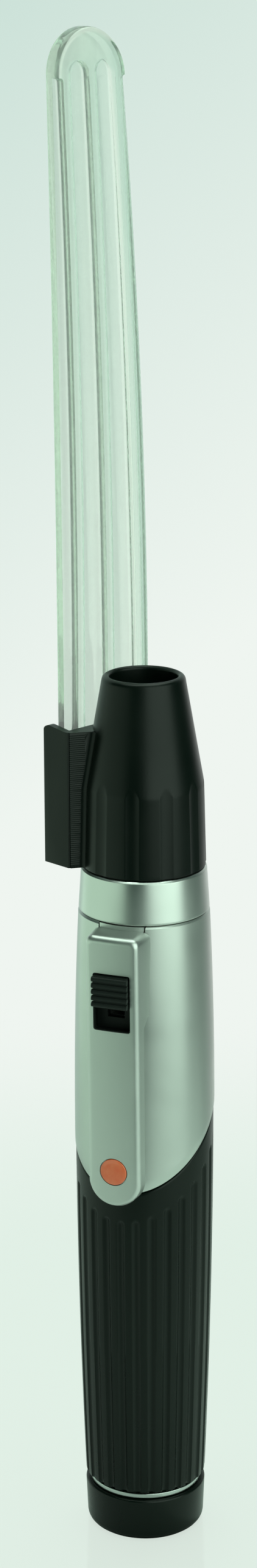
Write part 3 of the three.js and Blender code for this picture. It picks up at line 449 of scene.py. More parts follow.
grip_sleeve = finished("grip_sleeve_moulding", skin(sleeve_columns), 40)
press_flutes(grip_sleeve, {
    "Count": float(FLUTES), "First Angle": -pi / 2, "Radius": FLUTE_R * MM, "Depth": FLUTE_DEPTH * MM,
    "Follow Skin": 1.0, "Foot Radius": 0.0, "Foot Height": 0.0, "Draft": 0.0, "Inner Radius": 9.95 * MM,
    "Top Height": (JOIN_Z - JOIN_GAP - FLUTE_DROP - FLUTE_END) * MM,
    "Top Slant": JOIN_SLOPE * SLEEVE_TOP_R * MM},
    black_abs("sleeve_black_abs", ABS_DARK, ABS_LIGHT, 0.3, 0.35))
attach(grip_sleeve, "handle")
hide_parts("grip_sleeve")


# Upper shell. Aluminium upper half of the barrel, bead-blasted and clear anodised to a satin silver, with
# broken edges and a notch at the top for the clip's tongue. It is pressed over the tube.
SHELL_COLUMNS, SHELL_ROWS, SHELL_LOW_R, SHELL_EDGE = 224, 26, 11.8, 0.3
SHELL_WALL_Z, SHELL_CHAMFER_Z = 112.7, 112.8
# half width, front, back, low and high of the cuts for the clip's tongue, the slider's stem and the strip
SHELL_CUTS = {"notch_cutter": (4.1, -13, -7.6, 111.8, 114.5), "stem_slot_cutter": (1.5, -13, -5, 97.9, 104.9),
              "strip_channel_cutter": (2.3, -9.4, -5, 96.5, 114.5)}


def satin_aluminium(name, colour, roughness):
    """Bead-blasted, clear anodised aluminium: a soft broad highlight with a very fine even grain, and slight
    patches of gloss from handling. The pits are about 0.1 mm, drawn at 0.3 mm so that they show."""
    material, tree, where = new_finish(name)
    pits = add_node(tree, "ShaderNodeTexNoise", {"Scale": 1 / (0.3 * MM), "Detail": 2}, where)
    handling = add_node(tree, "ShaderNodeTexNoise", {"Scale": 1 / (9 * MM), "Detail": 4}, where)
    gloss = add_node(tree, "ShaderNodeMapRange", {"From Min": 0.3, "From Max": 0.7,
                     "To Min": roughness - 0.04, "To Max": roughness + 0.04}, {"Value": handling})
    bump = add_node(tree, "ShaderNodeBump", {"Strength": 0.3, "Distance": 0.01 * MM}, {"Height": pits})
    shader = add_node(tree, "ShaderNodeBsdfPrincipled", {"Base Color": linear(colour), "Metallic": 1.0},
                      {"Roughness": gloss, "Normal": bump})
    add_node(tree, "ShaderNodeOutputMaterial", None, {"Surface": shader})
    return material


def prism(name, outline, low, high, along):
    """A flat outline pushed along an axis. Along Z it holds (x, y), along X (y, z) and along Y (x, z)."""
    place = {"Z": lambda a, b, h: (a, b, h), "X": lambda a, b, h: (h, a, b),
             "Y": lambda a, b, h: (a, h, b)}[along]
    return finished(name, skin([[place(a, b, h) for a, b in outline] for h in (low, high)], capped=True))


def box(name, low, high):
    """A plain block between two corners, used as a tool."""
    sides = [(low[0], low[1]), (high[0], low[1]), (high[0], high[1]), (low[0], high[1])]
    return prism(name, sides, low[2], high[2], "Z")


def carve(body, tool, operation="DIFFERENCE", smooth_angle=32):
    """Cuts a tool from a body, joins it, or keeps what both share. The tool is used up."""
    modifier = body.modifiers.new("carve", "BOOLEAN")
    modifier.object = tool
    modifier.operation = operation
    modifier.solver = "EXACT"
    mesh = applied(body, modifier)
    bpy.data.objects.remove(tool)
    # slivers that a cut leaves are closed
    bm = bmesh.new()
    bm.from_mesh(mesh)
    bmesh.ops.remove_doubles(bm, verts=bm.verts, dist=2e-3 * MM)
    bmesh.ops.dissolve_degenerate(bm, edges=bm.edges, dist=2e-3 * MM)
    bm.to_mesh(mesh)
    bm.free()
    shade(mesh, smooth_angle)


shell_columns = []
for i in range(SHELL_COLUMNS):
    angle = -pi / 2 + tau * (i + 0.5) / SHELL_COLUMNS
    low_z = join_height(angle, SHELL_LOW_R, JOIN_GAP)
    low_r = barrel_r(low_z)
    column = [(BARREL_BORE_R, join_height(angle, BARREL_BORE_R, JOIN_GAP)), (low_r - SHELL_EDGE, low_z),
              (low_r - 0.09, low_z + 0.09), (low_r, low_z + SHELL_EDGE)]
    heights = [low_z + SHELL_EDGE + (SHELL_WALL_Z - low_z - SHELL_EDGE) * k / SHELL_ROWS
               for k in range(1, SHELL_ROWS + 1)]
    column += [(barrel_r(z), z) for z in heights + [SHELL_CHAMFER_Z]]
    column += [(barrel_r(BARREL_TOP_Z) - SHELL_EDGE, BARREL_TOP_Z), (BARREL_BORE_R, BARREL_TOP_Z)]
    shell_columns.append(swung(column, angle))
upper_shell = finished("upper_shell_tube", skin(shell_columns))
for name, (half, front, back, low, high) in SHELL_CUTS.items():
    carve(upper_shell, box(name, (-half, front, low), (half, back, high)))
dress(upper_shell, satin_aluminium("satin_anodised_aluminium", "#c8cdc9", 0.36))
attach(upper_shell, "handle")
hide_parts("upper_shell")


# Switch base, contact strip and wiper. A plate moulded from black ABS on the shell behind the clip's window,
# and the strip and wiper that close the circuit, pressed from spring brass. The brass is coloured almost
# black as painted shade, for the dark slot behind the window where they sit.
base_abs = black_abs("base_black_abs", "#0b0f0d", "#121715", 0.55, 0.3)
dress(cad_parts["switch_base"], base_abs)
# near-black brass: painted shade for the dark slot behind the window, not the brass's own tone
shaded_spring_brass = plated_metal("spring_brass_painted_shade", "#18140e", 0.55, 0.5)
for node in ("contact_strip", "slider_contact"):
    dress(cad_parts[node], shaded_spring_brass)


# Thumb slider. Black ABS button in the clip's window, with five moulded cross ridges for the thumb, a flange
# behind the window and a stem to the wiper.
BUTTON_HALF, BUTTON_FACE_Y, BUTTON_BACK_Y, BUTTON_LOW_Z, BUTTON_HIGH_Z = 2.95, -16.05, -13.3, 100.4, 105.8
# half width, front, back, low and high of what is moulded on behind the button
SLIDER_BLOCKS = {"flange_block": (3.4, -13.83, -13.23, 99.95, 106.25),
                 "stem_block": (1.2, -13.7, -10.5, 101.6, 104.6)}


def ridge_row(name, sizes, material):
    """Geometry Nodes row of round bars, one over the other along Z, each turned about Z by the lean."""
    tree, given = start_tree(name, sizes)
    step = add_node(tree, "ShaderNodeCombineXYZ", None, {"Z": given["Pitch"]})
    line = add_node(tree, "GeometryNodeMeshLine", None,
                    {"Count": given["Count"], "Start Location": given["First"], "Offset": step})
    bar = add_node(tree, "GeometryNodeMeshCylinder", None,
                   {"Vertices": given["Sides"], "Radius": given["Radius"], "Depth": given["Length"]})
    tilt = add_node(tree, "ShaderNodeCombineXYZ", {"Y": pi / 2}, {"Z": given["Lean"]})
    bars = add_node(tree, "GeometryNodeInstanceOnPoints", None,
                    {"Points": line, "Instance": bar, "Rotation": tilt})
    return grown(name, tree, given, bars, sizes, material)


slider_abs = black_abs("slider_black_abs", "#0f1412", "#1b221f", 0.5, 0.25)
thumb_slider = prism("thumb_slider_button", rounded([
    (-BUTTON_HALF, BUTTON_FACE_Y, 0.3), (BUTTON_HALF, BUTTON_FACE_Y, 0.3), (BUTTON_HALF, BUTTON_BACK_Y, 0),
    (-BUTTON_HALF, BUTTON_BACK_Y, 0)], 4), BUTTON_LOW_Z, BUTTON_HIGH_Z, "Z")
for name, (half, front, back, low, high) in SLIDER_BLOCKS.items():
    carve(thumb_slider, box(name, (-half, front, low), (half, back, high)), "UNION")
carve(thumb_slider, ridge_row("thumb_ridge_bars", {
    "Count": 5, "Pitch": 1.08 * MM, "Length": 6.2 * MM, "Radius": 0.46 * MM, "Sides": 20,
    "First": (0.0, -15.965 * MM, 100.94 * MM), "Lean": 0.0}, slider_abs), "UNION", 40)
dress(thumb_slider, slider_abs)
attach(thumb_slider, "switch")
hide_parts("thumb_slider")


# Pocket clip and window shade liner. The clip is an aluminium pressing in the same satin silver: a box over
# the switch with a window, running down into a free plate with a round tip. A tongue at its top hooks into
# the shell's notch. The liner is a thin black ABS frame in the window, with plates inside the box. It is
# painted
# shade: dark sheets where the window's walls and the box's inside lie in shade.
CLIP_TOP_Z, CLIP_TIP_Z, CLIP_TOP_Y, CLIP_TIP_Y = 112.4, 64.7, -15.45, -14.5
CLIP_HALF, CLIP_PLATE, CLIP_EDGE, CLIP_TIP_R, CLIP_FLARE = 4.55, 2.4, 0.75, 4.55, 0.02
CLIP_ROOF_R, CLIP_ROOF_ROUND, CLIP_CROWN, CLIP_STEPS, CLIP_TIP_STEPS = 1.3, 1.15, 0.2, 6, 24
# rows up the clip's side, close together where the plate deepens into the box
CLIP_ROWS = (74, 80, 86, 92, 96.4, 98, 98.02, 102, 106, 109)
BOX_FOOT_Z, BOX_STEP_Z, BOX_STEP, BOX_BACK_Y = 96.4, 98.01, 4.0, -8.6
HOLLOW_HALF, HOLLOW_LOW_Z, HOLLOW_HIGH_Z, HOLLOW_FACE_Z, BOX_WALL = 3.7, 95.35, 111.55, 109.9, 1.2
WINDOW_HALF, WINDOW_LOW_Z, WINDOW_HIGH_Z, WINDOW_ROUND = 3.25, 96.1, 106.1, 0.4
SHADE_LINER_WALL, SHADE_LINER_FRONT, SHADE_LINER_BACK = 0.14, 0.3, 1.15
TONGUE_HALF, TONGUE_FRONT_Y, TONGUE_BACK_Y, TONGUE_LOW_Z, TONGUE_HIGH_Z = 3.8, -12.15, -9.4, 112.1, 112.37
HOOK_R, HOOK_TURN, HOOK_HALF, HOOK_LOW_Z, HOOK_HIGH_Z = 10.98, radians(20.8), 3.85, 112.2, 113.12


def clip_face(z):
    """The clip's front face at a height."""
    return CLIP_TIP_Y + (CLIP_TOP_Y - CLIP_TIP_Y) * (z - CLIP_TIP_Z) / (CLIP_TOP_Z - CLIP_TIP_Z)


def clip_half_outline(inset, sink):
    """The right half of the clip's front, from its tip to the middle of its roof, pulled in by inset, the
    roof by sink."""
    line = []
    reach = CLIP_TIP_R - inset
    for k in range(CLIP_TIP_STEPS + 1):
        turn = pi / 2 * (k / CLIP_TIP_STEPS - 1)
        line.append((reach * cos(turn), CLIP_TIP_Z + CLIP_TIP_R + reach * sin(turn)))
    line += [(CLIP_HALF - inset, z) for z in CLIP_ROWS]
    corner = max(0.3, CLIP_ROOF_R - inset)
    line += [(CLIP_HALF - inset - corner + corner * cos(t),
              CLIP_TOP_Z - sink - corner + corner * sin(t)) for t in quarter(6)]
    return line + [(line[-1][0] * k / CLIP_STEPS, CLIP_TOP_Z - sink) for k in range(CLIP_STEPS - 1, -1, -1)]


def clip_depth(z):
    """How deep the clip is behind its face: a plate below, a box over the switch above."""
    if z <= BOX_FOOT_Z:
        return CLIP_PLATE + 0.01
    return BOX_STEP if z < BOX_STEP_Z else BOX_BACK_Y - clip_face(z)


def window_corners(inset):
    """The window's outline, pulled in by inset."""
    half, low, high = WINDOW_HALF - inset, WINDOW_LOW_Z + inset, WINDOW_HIGH_Z - inset
    corners = ((-half, low), (half, low), (half, high), (-half, high))
    return rounded([(x, z, WINDOW_ROUND) for x, z in corners], 4)


clip_layers = [CLIP_ROOF_ROUND * (1 - cos(t)) for t in quarter(14)]
clip_rings = []
for depth in clip_layers + [CLIP_PLATE, None]:
    # how far the sides and the roof are still rounded off at this depth
    side_left = 0 if depth is None else max(0, CLIP_EDGE - depth)
    roof_left = 0 if depth is None else max(0, CLIP_ROOF_ROUND - depth)
    inset = CLIP_EDGE - sqrt(CLIP_EDGE**2 - side_left**2)
    sink = CLIP_ROOF_ROUND - sqrt(CLIP_ROOF_ROUND**2 - roof_left**2)
    right_side = []
    for x, z in clip_half_outline(inset, sink):
        behind = clip_depth(z) if depth is None else depth
        crown = CLIP_CROWN * (x / CLIP_HALF) ** 2 if depth in clip_layers else 0
        right_side.append((x * (1 + CLIP_FLARE * behind), clip_face(z) + behind + crown, z))
    clip_rings.append(right_side + [(-x, y, z) for x, y, z in reversed(right_side[1:-1])])
clip_mesh = skin(clip_rings, open_ends=True)
clip_mesh.verts.ensure_lookup_table()
rows = len(right_side) - CLIP_STEPS
back = clip_mesh.verts[-len(clip_rings[0]):]
clip_mesh.faces.new((back[0], back[1], back[-1]))
for i in range(1, rows - 2):
    clip_mesh.faces.new((back[i], back[i + 1], back[-i - 1], back[-i]))
clip_mesh.faces.new(back[rows - 2 : 3 - rows])
# the face is crowned a little from side to side
across = []
for x, y, z in clip_rings[0][1:rows]:
    shares = [k / CLIP_STEPS - 1 for k in range(2 * CLIP_STEPS + 1)]
    across.append([clip_mesh.verts.new((x * t, clip_face(z) + CLIP_CROWN * (x * t / CLIP_HALF) ** 2, z))
                   for t in shares])
tip = clip_mesh.verts.new(clip_rings[0][0])
for k in range(2 * CLIP_STEPS):
    clip_mesh.faces.new((tip, across[0][k], across[0][k + 1]))
    for low, high in zip(across, across[1:]):
        clip_mesh.faces.new((low[k], low[k + 1], high[k + 1], high[k]))
pocket_clip = finished("pocket_clip_pressing", clip_mesh)
# its back stays clear of the barrel, and the box is hollow round the switch
ROOM_LOW_Z, ROOM_HIGH_Z, ROOM_GAP, ROOM_ROWS = 60, 115, 0.3, 24
room_heights = [ROOM_LOW_Z + (ROOM_HIGH_Z - ROOM_LOW_Z) * k / ROOM_ROWS for k in range(ROOM_ROWS + 1)]
carve(pocket_clip, turned("clip_room_tool", [
    (0, ROOM_LOW_Z)] + [(barrel_r(z) + ROOM_GAP, z) for z in room_heights] + [(0, ROOM_HIGH_Z)]))
carve(pocket_clip, prism("clip_hollow_tool", [
    (0, HOLLOW_HIGH_Z), (clip_face(HOLLOW_FACE_Z) + BOX_WALL, HOLLOW_HIGH_Z),
    (clip_face(HOLLOW_LOW_Z) + BOX_WALL, HOLLOW_LOW_Z), (0, HOLLOW_LOW_Z)], -HOLLOW_HALF, HOLLOW_HALF, "X"))
carve(pocket_clip, prism("clip_window_tool", window_corners(0), -20, -5, "Y"))
# a thin black frame in the window and a plate on each inner side of the box are painted shade: dark sheets
# where the window's walls and the box's inside lie in shade, so that no bright edge shows round the slider
shade_liner_section = ((0, SHADE_LINER_FRONT), (SHADE_LINER_WALL, SHADE_LINER_FRONT), (SHADE_LINER_WALL, SHADE_LINER_BACK), (0, SHADE_LINER_BACK))
shade_liner_rings = [[(x, clip_face(z) + depth, z) for x, z in window_corners(inset)]
               for inset, depth in shade_liner_section]
window_shade_liner = finished("window_painted_shade_frame", skin(shade_liner_rings))
PLATE_IN, PLATE_OUT, PLATE_LOW_Z, PLATE_HIGH_Z, PLATE_BACK_Y = 3.58, 3.69, 95.5, 107, -10.6
for side in (-1, 1):
    low, high = sorted((side * PLATE_IN, side * PLATE_OUT))
    carve(window_shade_liner, box("box_painted_shade_plate", (low, clip_face(PLATE_LOW_Z) + 1.25, PLATE_LOW_Z),
                            (high, PLATE_BACK_Y, PLATE_HIGH_Z)), "UNION")
# black ABS on the frame and plates is painted shade for the window's walls and the inside of the box
dress(window_shade_liner, base_abs)
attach(window_shade_liner, "clip")
BADGE_Z, RECESS_R, RECESS_DEPTH = 71.0, 2.45, 0.6
badge_lean = atan((CLIP_TIP_Y - CLIP_TOP_Y) / (CLIP_TOP_Z - CLIP_TIP_Z))
badge_place = Matrix.Translation((0, clip_face(BADGE_Z) * MM, BADGE_Z * MM)) @ Matrix.Rotation(
    pi / 2 + badge_lean, 4, "X")
badge_recess = turned("badge_recess_tool", [
    (0, -RECESS_DEPTH), (RECESS_R, -RECESS_DEPTH), (RECESS_R, 1), (0, 1)], 64)
badge_recess.data.transform(badge_place)
carve(pocket_clip, badge_recess)
carve(pocket_clip, box("clip_tongue", (-TONGUE_HALF, TONGUE_FRONT_Y, TONGUE_LOW_Z),
                       (TONGUE_HALF, TONGUE_BACK_Y, TONGUE_HIGH_Z)), "UNION")
hook = [(HOOK_R * sin(t), -HOOK_R * cos(t)) for t in (HOOK_TURN * (k / 10 - 1) for k in range(21))]
hook += [(HOOK_HALF, TONGUE_BACK_Y), (-HOOK_HALF, TONGUE_BACK_Y)]
carve(pocket_clip, prism("clip_hook", hook, HOOK_LOW_Z, HOOK_HIGH_Z, "Z"), "UNION")
dress(pocket_clip, satin_aluminium("satin_clip_aluminium", "#ccd1cd", 0.4))
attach(pocket_clip, "clip")
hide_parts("pocket_clip")


# Round inlay. Orange-red enamelled disc with a softly crowned face, cemented in a shallow recess near the
# clip's tip.
BADGE_R, BADGE_BACK, BADGE_EDGE, BADGE_CROWN = 2.3, -0.3, 0.08, 0.15


def two_tone(name, dark, light, patch_mm, gloss):
    """A finish whose colour drifts between two near tones in patches of some size."""
    material, tree, where = new_finish(name)
    drift = add_node(tree, "ShaderNodeTexNoise", {"Scale": 1 / (patch_mm * MM), "Detail": 3}, where)
    tone = add_node(tree, "ShaderNodeMix", {6: linear(dark), 7: linear(light)}, {0: drift},
                    data_type="RGBA")
    shader = add_node(tree, "ShaderNodeBsdfPrincipled", gloss, {"Base Color": tone.outputs[2]})
    add_node(tree, "ShaderNodeOutputMaterial", None, {"Surface": shader})
    return material


badge_disc = turned("badge_inlay", rounded([
    (0, BADGE_BACK, 0), (BADGE_R, BADGE_BACK, 0), (BADGE_R, BADGE_EDGE, 0.1), (1.6, 0.14, 0),
    (0, BADGE_CROWN, 0)], 4), 72)
badge_disc.data.transform(badge_place)
# enamel flows before it sets, which leaves faint clouds under a hard gloss
dress(badge_disc, two_tone("orange_enamel", "#e05a30", "#ee7f55", 1.2,
                           {"Roughness": 0.25, "IOR": 1.52, "Coat Weight": 0.5}))
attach(badge_disc, "clip")
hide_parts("badge_disc")


# Collar. Turned aluminium ring in the satin silver, with a diamond-cut bright chamfer at its top edge,
# pressed over the nose's spigot.
COLLAR_BORE_R, COLLAR_LOW_Z, COLLAR_LOW_R, COLLAR_TOP_Z, COLLAR_TOP_R = 9.5, 113.28, 10.95, 120.6, 10.2
CHAMFER_R, CHAMFER_Z = 10.5, 120.3
# a plain point near each end of the wall keeps its shading straight up to the rounded edges
WALL_FOOT, WALL_HEAD = (10.923, 113.7, 0), (10.513, 120.1, 0)
collar = turned("collar_turning", rounded([
    (COLLAR_BORE_R, COLLAR_LOW_Z, 0), (COLLAR_LOW_R, COLLAR_LOW_Z, 0.2), WALL_FOOT, WALL_HEAD,
    (CHAMFER_R, CHAMFER_Z, 0.05), (COLLAR_TOP_R, COLLAR_TOP_Z, 0.05),
    (COLLAR_BORE_R, COLLAR_TOP_Z, 0)], 4), 224)
dress(collar, satin_aluminium("satin_collar_aluminium", "#cdd2ce", 0.33))
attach(collar, "head")
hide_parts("collar")


# Head contacts. Turned brass thread sleeve that screws the head into the handle, and a brass plunger. A cream
# insulator, pressed from phenolic, keeps them apart.
SCREW_R, SCREW_DEPTH, SCREW_LEAD, SCREW_LOW_Z, SCREW_HIGH_Z = 8.3, 0.35, 1.5, 104.6, 113.0
SCREW_BORE_R, SCREW_FOOT_R, SCREW_FOOT_Z, SCREW_TOP_Z = 7.5, 7.9, 104.5, 120.3
screw_columns = []
for i in range(THREAD_COLUMNS):
    angle = tau * i / THREAD_COLUMNS
    column = [(SCREW_BORE_R, SCREW_TOP_Z), (SCREW_BORE_R, SCREW_FOOT_Z), (SCREW_FOOT_R, SCREW_FOOT_Z)]
    column += thread_column(angle, SCREW_R, SCREW_DEPTH, SCREW_LEAD, SCREW_LOW_Z, SCREW_HIGH_Z)
    screw_columns.append(swung(column + [(SCREW_R, SCREW_TOP_Z)], angle))
thread_sleeve = finished("thread_sleeve_turning", skin(screw_columns))
dress(thread_sleeve, brass)
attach(thread_sleeve, "head")
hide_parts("thread_sleeve")
dress(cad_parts["centre_contact"], brass)
# filled phenolic is dull and faintly speckled
dress(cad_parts["bulb_insulator"], two_tone("cream_phenolic", "#d8ccb0", "#e9e0cb", 0.8,
                                                 {"Roughness": 0.55, "IOR": 1.55}))


# Lamp. Nickel-plated steel cup with a flange, drawn in one piece, and a clear glass with a domed lens end
# that is cemented into it.
def clear_glass(name, tint, index, body, depth_colour, depth):
    """Clear glass or plastic: a sharp highlight, faint ripples of 6 mm from moulding, and a cast that grows
    with the light's way inside. A body under 1 lets part of the light straight through, as thin walls do."""
    material, tree, where = new_finish(name)
    ripple = add_node(tree, "ShaderNodeTexNoise", {"Scale": 1 / (6 * MM), "Detail": 1}, where)
    bump = add_node(tree, "ShaderNodeBump", {"Strength": 0.04, "Distance": 0.05 * MM}, {"Height": ripple})
    shader = add_node(tree, "ShaderNodeBsdfPrincipled",
                      {"Base Color": linear(tint), "Roughness": 0.02, "IOR": index, "Alpha": body,
                       "Transmission Weight": 1.0}, {"Normal": bump})
    cast = add_node(tree, "ShaderNodeVolumeAbsorption", {"Color": linear(depth_colour), "Density": depth})
    add_node(tree, "ShaderNodeOutputMaterial", None, {"Surface": shader, "Volume": cast})
    return material


dress(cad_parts["bulb_sleeve"], nickel)
lamp_glass = clear_glass("lamp_glass", "#f4faf7", 1.5, 1.0, "#e6f2ea", 20.0)
dress(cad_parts["bulb_glass"], lamp_glass)


# Lamp nose. Black ABS moulding: a drafted grip with shallow flutes, a cone up to the rounded rim, and the
# blade pocket on its side. Head pieces are shaped with the pocket towards +Y, then turned to their place.
HEAD_PLACE = Matrix.Rotation(radians(66), 4, "Z")
NOSE_Z, NOSE_R, SHOULDER_Z, SHOULDER_R, RIM_Z, RIM_R = 120.9, 10.38, 134.7, 10.0, 153.1, 6.78
NECK_LOW_Z, NECK_R, NECK_BORE_R, LAMP_ROOM_Z, LAMP_ROOM_R = 114.4, 9.2, 8.6, 121, 5.0
MOUTH_R, LENS_SEAT_Z, NOSE_ROW, WALL_LEAST_R, WALL_LOW_Z = 5.6, 143, 0.4, 6, 120.95
POCKET_HALF, POCKET_BACK_Y, POCKET_LOW_Z, POCKET_BACK_Z = 11.3, 12.3, 120.95, 144.85
POCKET_LIP_Y, POCKET_LIP_Z, POCKET_FRONT_Z = 7.2, 144.15, 144.1
POCKET_BLOCK_LOW_Z, POCKET_BLOCK_HIGH_Z, POCKET_CORNER_Z, POCKET_DEPTH_Y = 120.5, 145.5, 144.9, 14
# the pocket's wings spread from WING_FOOT along WING_RUN
WING_FOOT, WING_RUN = (7, 3.6), (4.3, 2.5)
FILLET, FILLET_ROOT, FILLET_ROWS, FILLET_LOW_Z, FILLET_TALL = 1.1, 0.35, 40, 121.0, 23.05
SLOT_HALF, SLOT_FRONT_Y, SLOT_BACK_Y, SLOT_FLOOR_Z, SLOT_OPEN_Z = 10.05, 7.2, 11.0, 122.4, 156
NOTCH_FRONT_Y, NOTCH_Z = 10.5, 142.2


def nose_r(z):
    """The nose's outer radius at a height, without its flutes."""
    if z < SHOULDER_Z:
        return NOSE_R - (NOSE_R - SHOULDER_R) * (z - NOSE_Z) / (SHOULDER_Z - NOSE_Z)
    return SHOULDER_R - (SHOULDER_R - RIM_R) * (z - SHOULDER_Z) / (RIM_Z - SHOULDER_Z)


nose_abs = black_abs("nose_black_abs", ABS_DARK, ABS_LIGHT, 0.35, 0.35)
nose_outline = rounded([
    (NECK_R, NECK_LOW_Z, 0.2), (NECK_R, NOSE_Z, 0), (NOSE_R, NOSE_Z, 0.15), (SHOULDER_R, SHOULDER_Z, 5),
    (RIM_R, RIM_Z, 0.9), (MOUTH_R, RIM_Z, 0.6), (MOUTH_R, LENS_SEAT_Z, 0), (LAMP_ROOM_R, LENS_SEAT_Z, 0),
    (LAMP_ROOM_R, LAMP_ROOM_Z, 0), (NECK_BORE_R, LAMP_ROOM_Z, 0), (NECK_BORE_R, NECK_LOW_Z, 0)], 8)
# the outer wall gets close rows, which the flutes need
nose_points = []
for (r0, z0), (r1, z1) in zip(nose_outline, nose_outline[1:] + nose_outline[:1]):
    on_wall = min(r0, r1) > WALL_LEAST_R and max(z0, z1) > WALL_LOW_Z
    parts = max(1, int(abs(z1 - z0) / NOSE_ROW)) if on_wall else 1
    nose_points += [(r0 + (r1 - r0) * k / parts, z0 + (z1 - z0) * k / parts) for k in range(parts)]
lamp_nose = turned("lamp_nose_moulding", nose_points, 528)
press_flutes(lamp_nose, {
    "Count": 11.0, "First Angle": radians(-80.6), "Radius": 4.5 * MM, "Depth": 0.23 * MM,
    "Follow Skin": 0.0, "Foot Radius": NOSE_R * MM, "Foot Height": NOSE_Z * MM,
    "Draft": (NOSE_R - SHOULDER_R) / (SHOULDER_Z - NOSE_Z), "Inner Radius": 9.25 * MM,
    "Top Height": 139.9 * MM, "Top Slant": 0.0}, nose_abs)
# a fine groove along each front corner is where the halves of the mould met
right_half = [(*WING_FOOT, 0), (11.11, 5.99, 0), (11.06, 6.2, 0), (POCKET_HALF, 6.3, 0.06),
              (POCKET_HALF, POCKET_BACK_Y, 0.5)]
left_half = [(-x, y, radius) for x, y, radius in reversed(right_half)]
pocket = prism("pocket_block", rounded(left_half[-1:] + right_half + left_half[:-1], 4),
               POCKET_BLOCK_LOW_Z, POCKET_BLOCK_HIGH_Z, "Z")
carve(pocket, prism("pocket_side_tool", rounded([
    (0, POCKET_LOW_Z, 0), (POCKET_BACK_Y, POCKET_LOW_Z, 0.25), (POCKET_BACK_Y, POCKET_BACK_Z, 1.6),
    (POCKET_LIP_Y, POCKET_LIP_Z, 0), (0, POCKET_FRONT_Z, 0)], 8), -POCKET_DEPTH_Y, POCKET_DEPTH_Y, "X"),
    "INTERSECT")
carve(pocket, prism("pocket_front_tool", rounded([
    (-POCKET_HALF, POCKET_BLOCK_LOW_Z, 0), (POCKET_HALF, POCKET_BLOCK_LOW_Z, 0),
    (POCKET_HALF, POCKET_CORNER_Z, 0.45), (-POCKET_HALF, POCKET_CORNER_Z, 0.45)], 5),
    0, POCKET_DEPTH_Y, "Y"), "INTERSECT")
# the block stays out of the nose's hollow
carve(pocket, turned("pocket_bore_tool", [
    (0, 119), (8.8, 119), (8.8, 121.2), (5.4, 121.2), (5.4, 143.2), (6.0, 143.2), (6.0, 156), (0, 156)], 96))
carve(lamp_nose, pocket, "UNION")
# a soft inside round where each wing of the pocket runs into the nose
along, foot = Vector(WING_RUN).normalized(), Vector(WING_FOOT)
run = foot.dot(along)
for side in (-1, 1):
    fillet_rings = []
    for z in [FILLET_LOW_Z + FILLET_TALL * k / FILLET_ROWS for k in range(FILLET_ROWS + 1)]:
        radius = nose_r(z) - 0.1
        corner = foot + along * (-run + sqrt(run**2 - foot.dot(foot) + radius**2))
        down = Vector((corner.y, -corner.x)).normalized()
        centre = corner + (along + down) * FILLET
        section = [corner - (along + down) * FILLET_ROOT, corner + along * FILLET - down * FILLET_ROOT]
        section += [centre - down * FILLET * cos(t) - along * FILLET * sin(t) for t in quarter(8)]
        section += [corner + down * FILLET - along * FILLET_ROOT]
        fillet_rings.append([(side * point.x, point.y, z) for point in section])
    carve(lamp_nose, finished("pocket_fillet", skin(fillet_rings, capped=True)), "UNION")
    # mould lines on the wing are about 0.1 mm apart, drawn coarser so that they show
    carve(lamp_nose, ridge_row("shoulder_lines", {
        "Count": 66, "Pitch": 0.34 * MM, "Length": 2.6 * MM, "Radius": 0.15 * MM, "Sides": 8,
        "First": (side * 9.95 * MM, 5.46 * MM, 121.6 * MM),
        "Lean": side * atan2(WING_RUN[1], WING_RUN[0])}, nose_abs), "UNION")
carve(lamp_nose, box("blade_slot_tool", (-SLOT_HALF, SLOT_FRONT_Y, SLOT_FLOOR_Z),
                     (SLOT_HALF, SLOT_BACK_Y, SLOT_OPEN_Z)))
# the back wall is cut lower between its ends, so that the blade shows clear down to the front wall
carve(lamp_nose, box("thumb_notch_tool", (-SLOT_HALF, NOTCH_FRONT_Y, NOTCH_Z),
                     (SLOT_HALF, POCKET_DEPTH_Y, SLOT_OPEN_Z)))
lamp_nose.data.transform(HEAD_PLACE)
dress(lamp_nose, nose_abs)
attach(lamp_nose, "head")
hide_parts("lamp_nose")


# Front lens and its ring. A clear moulded lens with a domed face rests on a seat in the nose, and a turned
# black ring keeps it there.
LENS_R, LENS_LOW_Z, LENS_EDGE_Z, LENS_DOME, LENS_FOOT_R, LENS_BEVEL_Z = 5.3, 143.3, 145.3, 0.9, 5.1, 143.5
lens_dome = [(LENS_R * sin(t), LENS_EDGE_Z + LENS_DOME * cos(t)) for t in quarter(12)]
front_lens = turned("front_lens_moulding", [
    (0, LENS_LOW_Z), (LENS_FOOT_R, LENS_LOW_Z), (LENS_R, LENS_BEVEL_Z)] + lens_dome[::-1], 96)
dress(front_lens, lamp_glass)
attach(front_lens, "head")
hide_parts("front_lens")
dress(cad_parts["lens_ring"], base_abs)


# Tongue blade. Injection-moulded clear acrylic with a faint green cast: a plate with three ribs towards the
# lamp that run out into a solid round tip. It is pushed into the pocket and bows a little outwards.
BLADE_Z, BLADE_TIP_Z, BLADE_STRAIGHT, TIP_R = 122.7, 255.9, 22.0, 7.7
BLADE_FRONT, BLADE_BACK, BLADE_EDGE, BLADE_FOOT_ROUND = 7.5, 10.7, 1.0, 2
BLADE_HALF, BLADE_SIDE_ARC, BLADE_BOW_ARC, BLADE_ROWS = 9.75, 2630, 1550, 60
RIB_TALL, RIB_HALF, RIB_FOOT, RIB_TAPER = 1.2, 0.75, 6.9, 1.3
CHANNEL_ROUND, CHANNEL_TIP_WALL, CHANNEL_INNER_DROP, CHANNEL_OUT = 0.7, 3.15, 1.5, 11
TIP_MIDDLE = BLADE_TIP_Z - TIP_R


def blade_half(z):
    """The blade's half width under its round tip: straight in the pocket, then a long arc."""
    return BLADE_HALF - max(0, z - BLADE_Z - BLADE_STRAIGHT) ** 2 / (2 * BLADE_SIDE_ARC)


def blade_bow(z):
    """How far the blade bows out at a height."""
    return max(0, z - BLADE_Z - BLADE_STRAIGHT) ** 2 / (2 * BLADE_BOW_ARC)


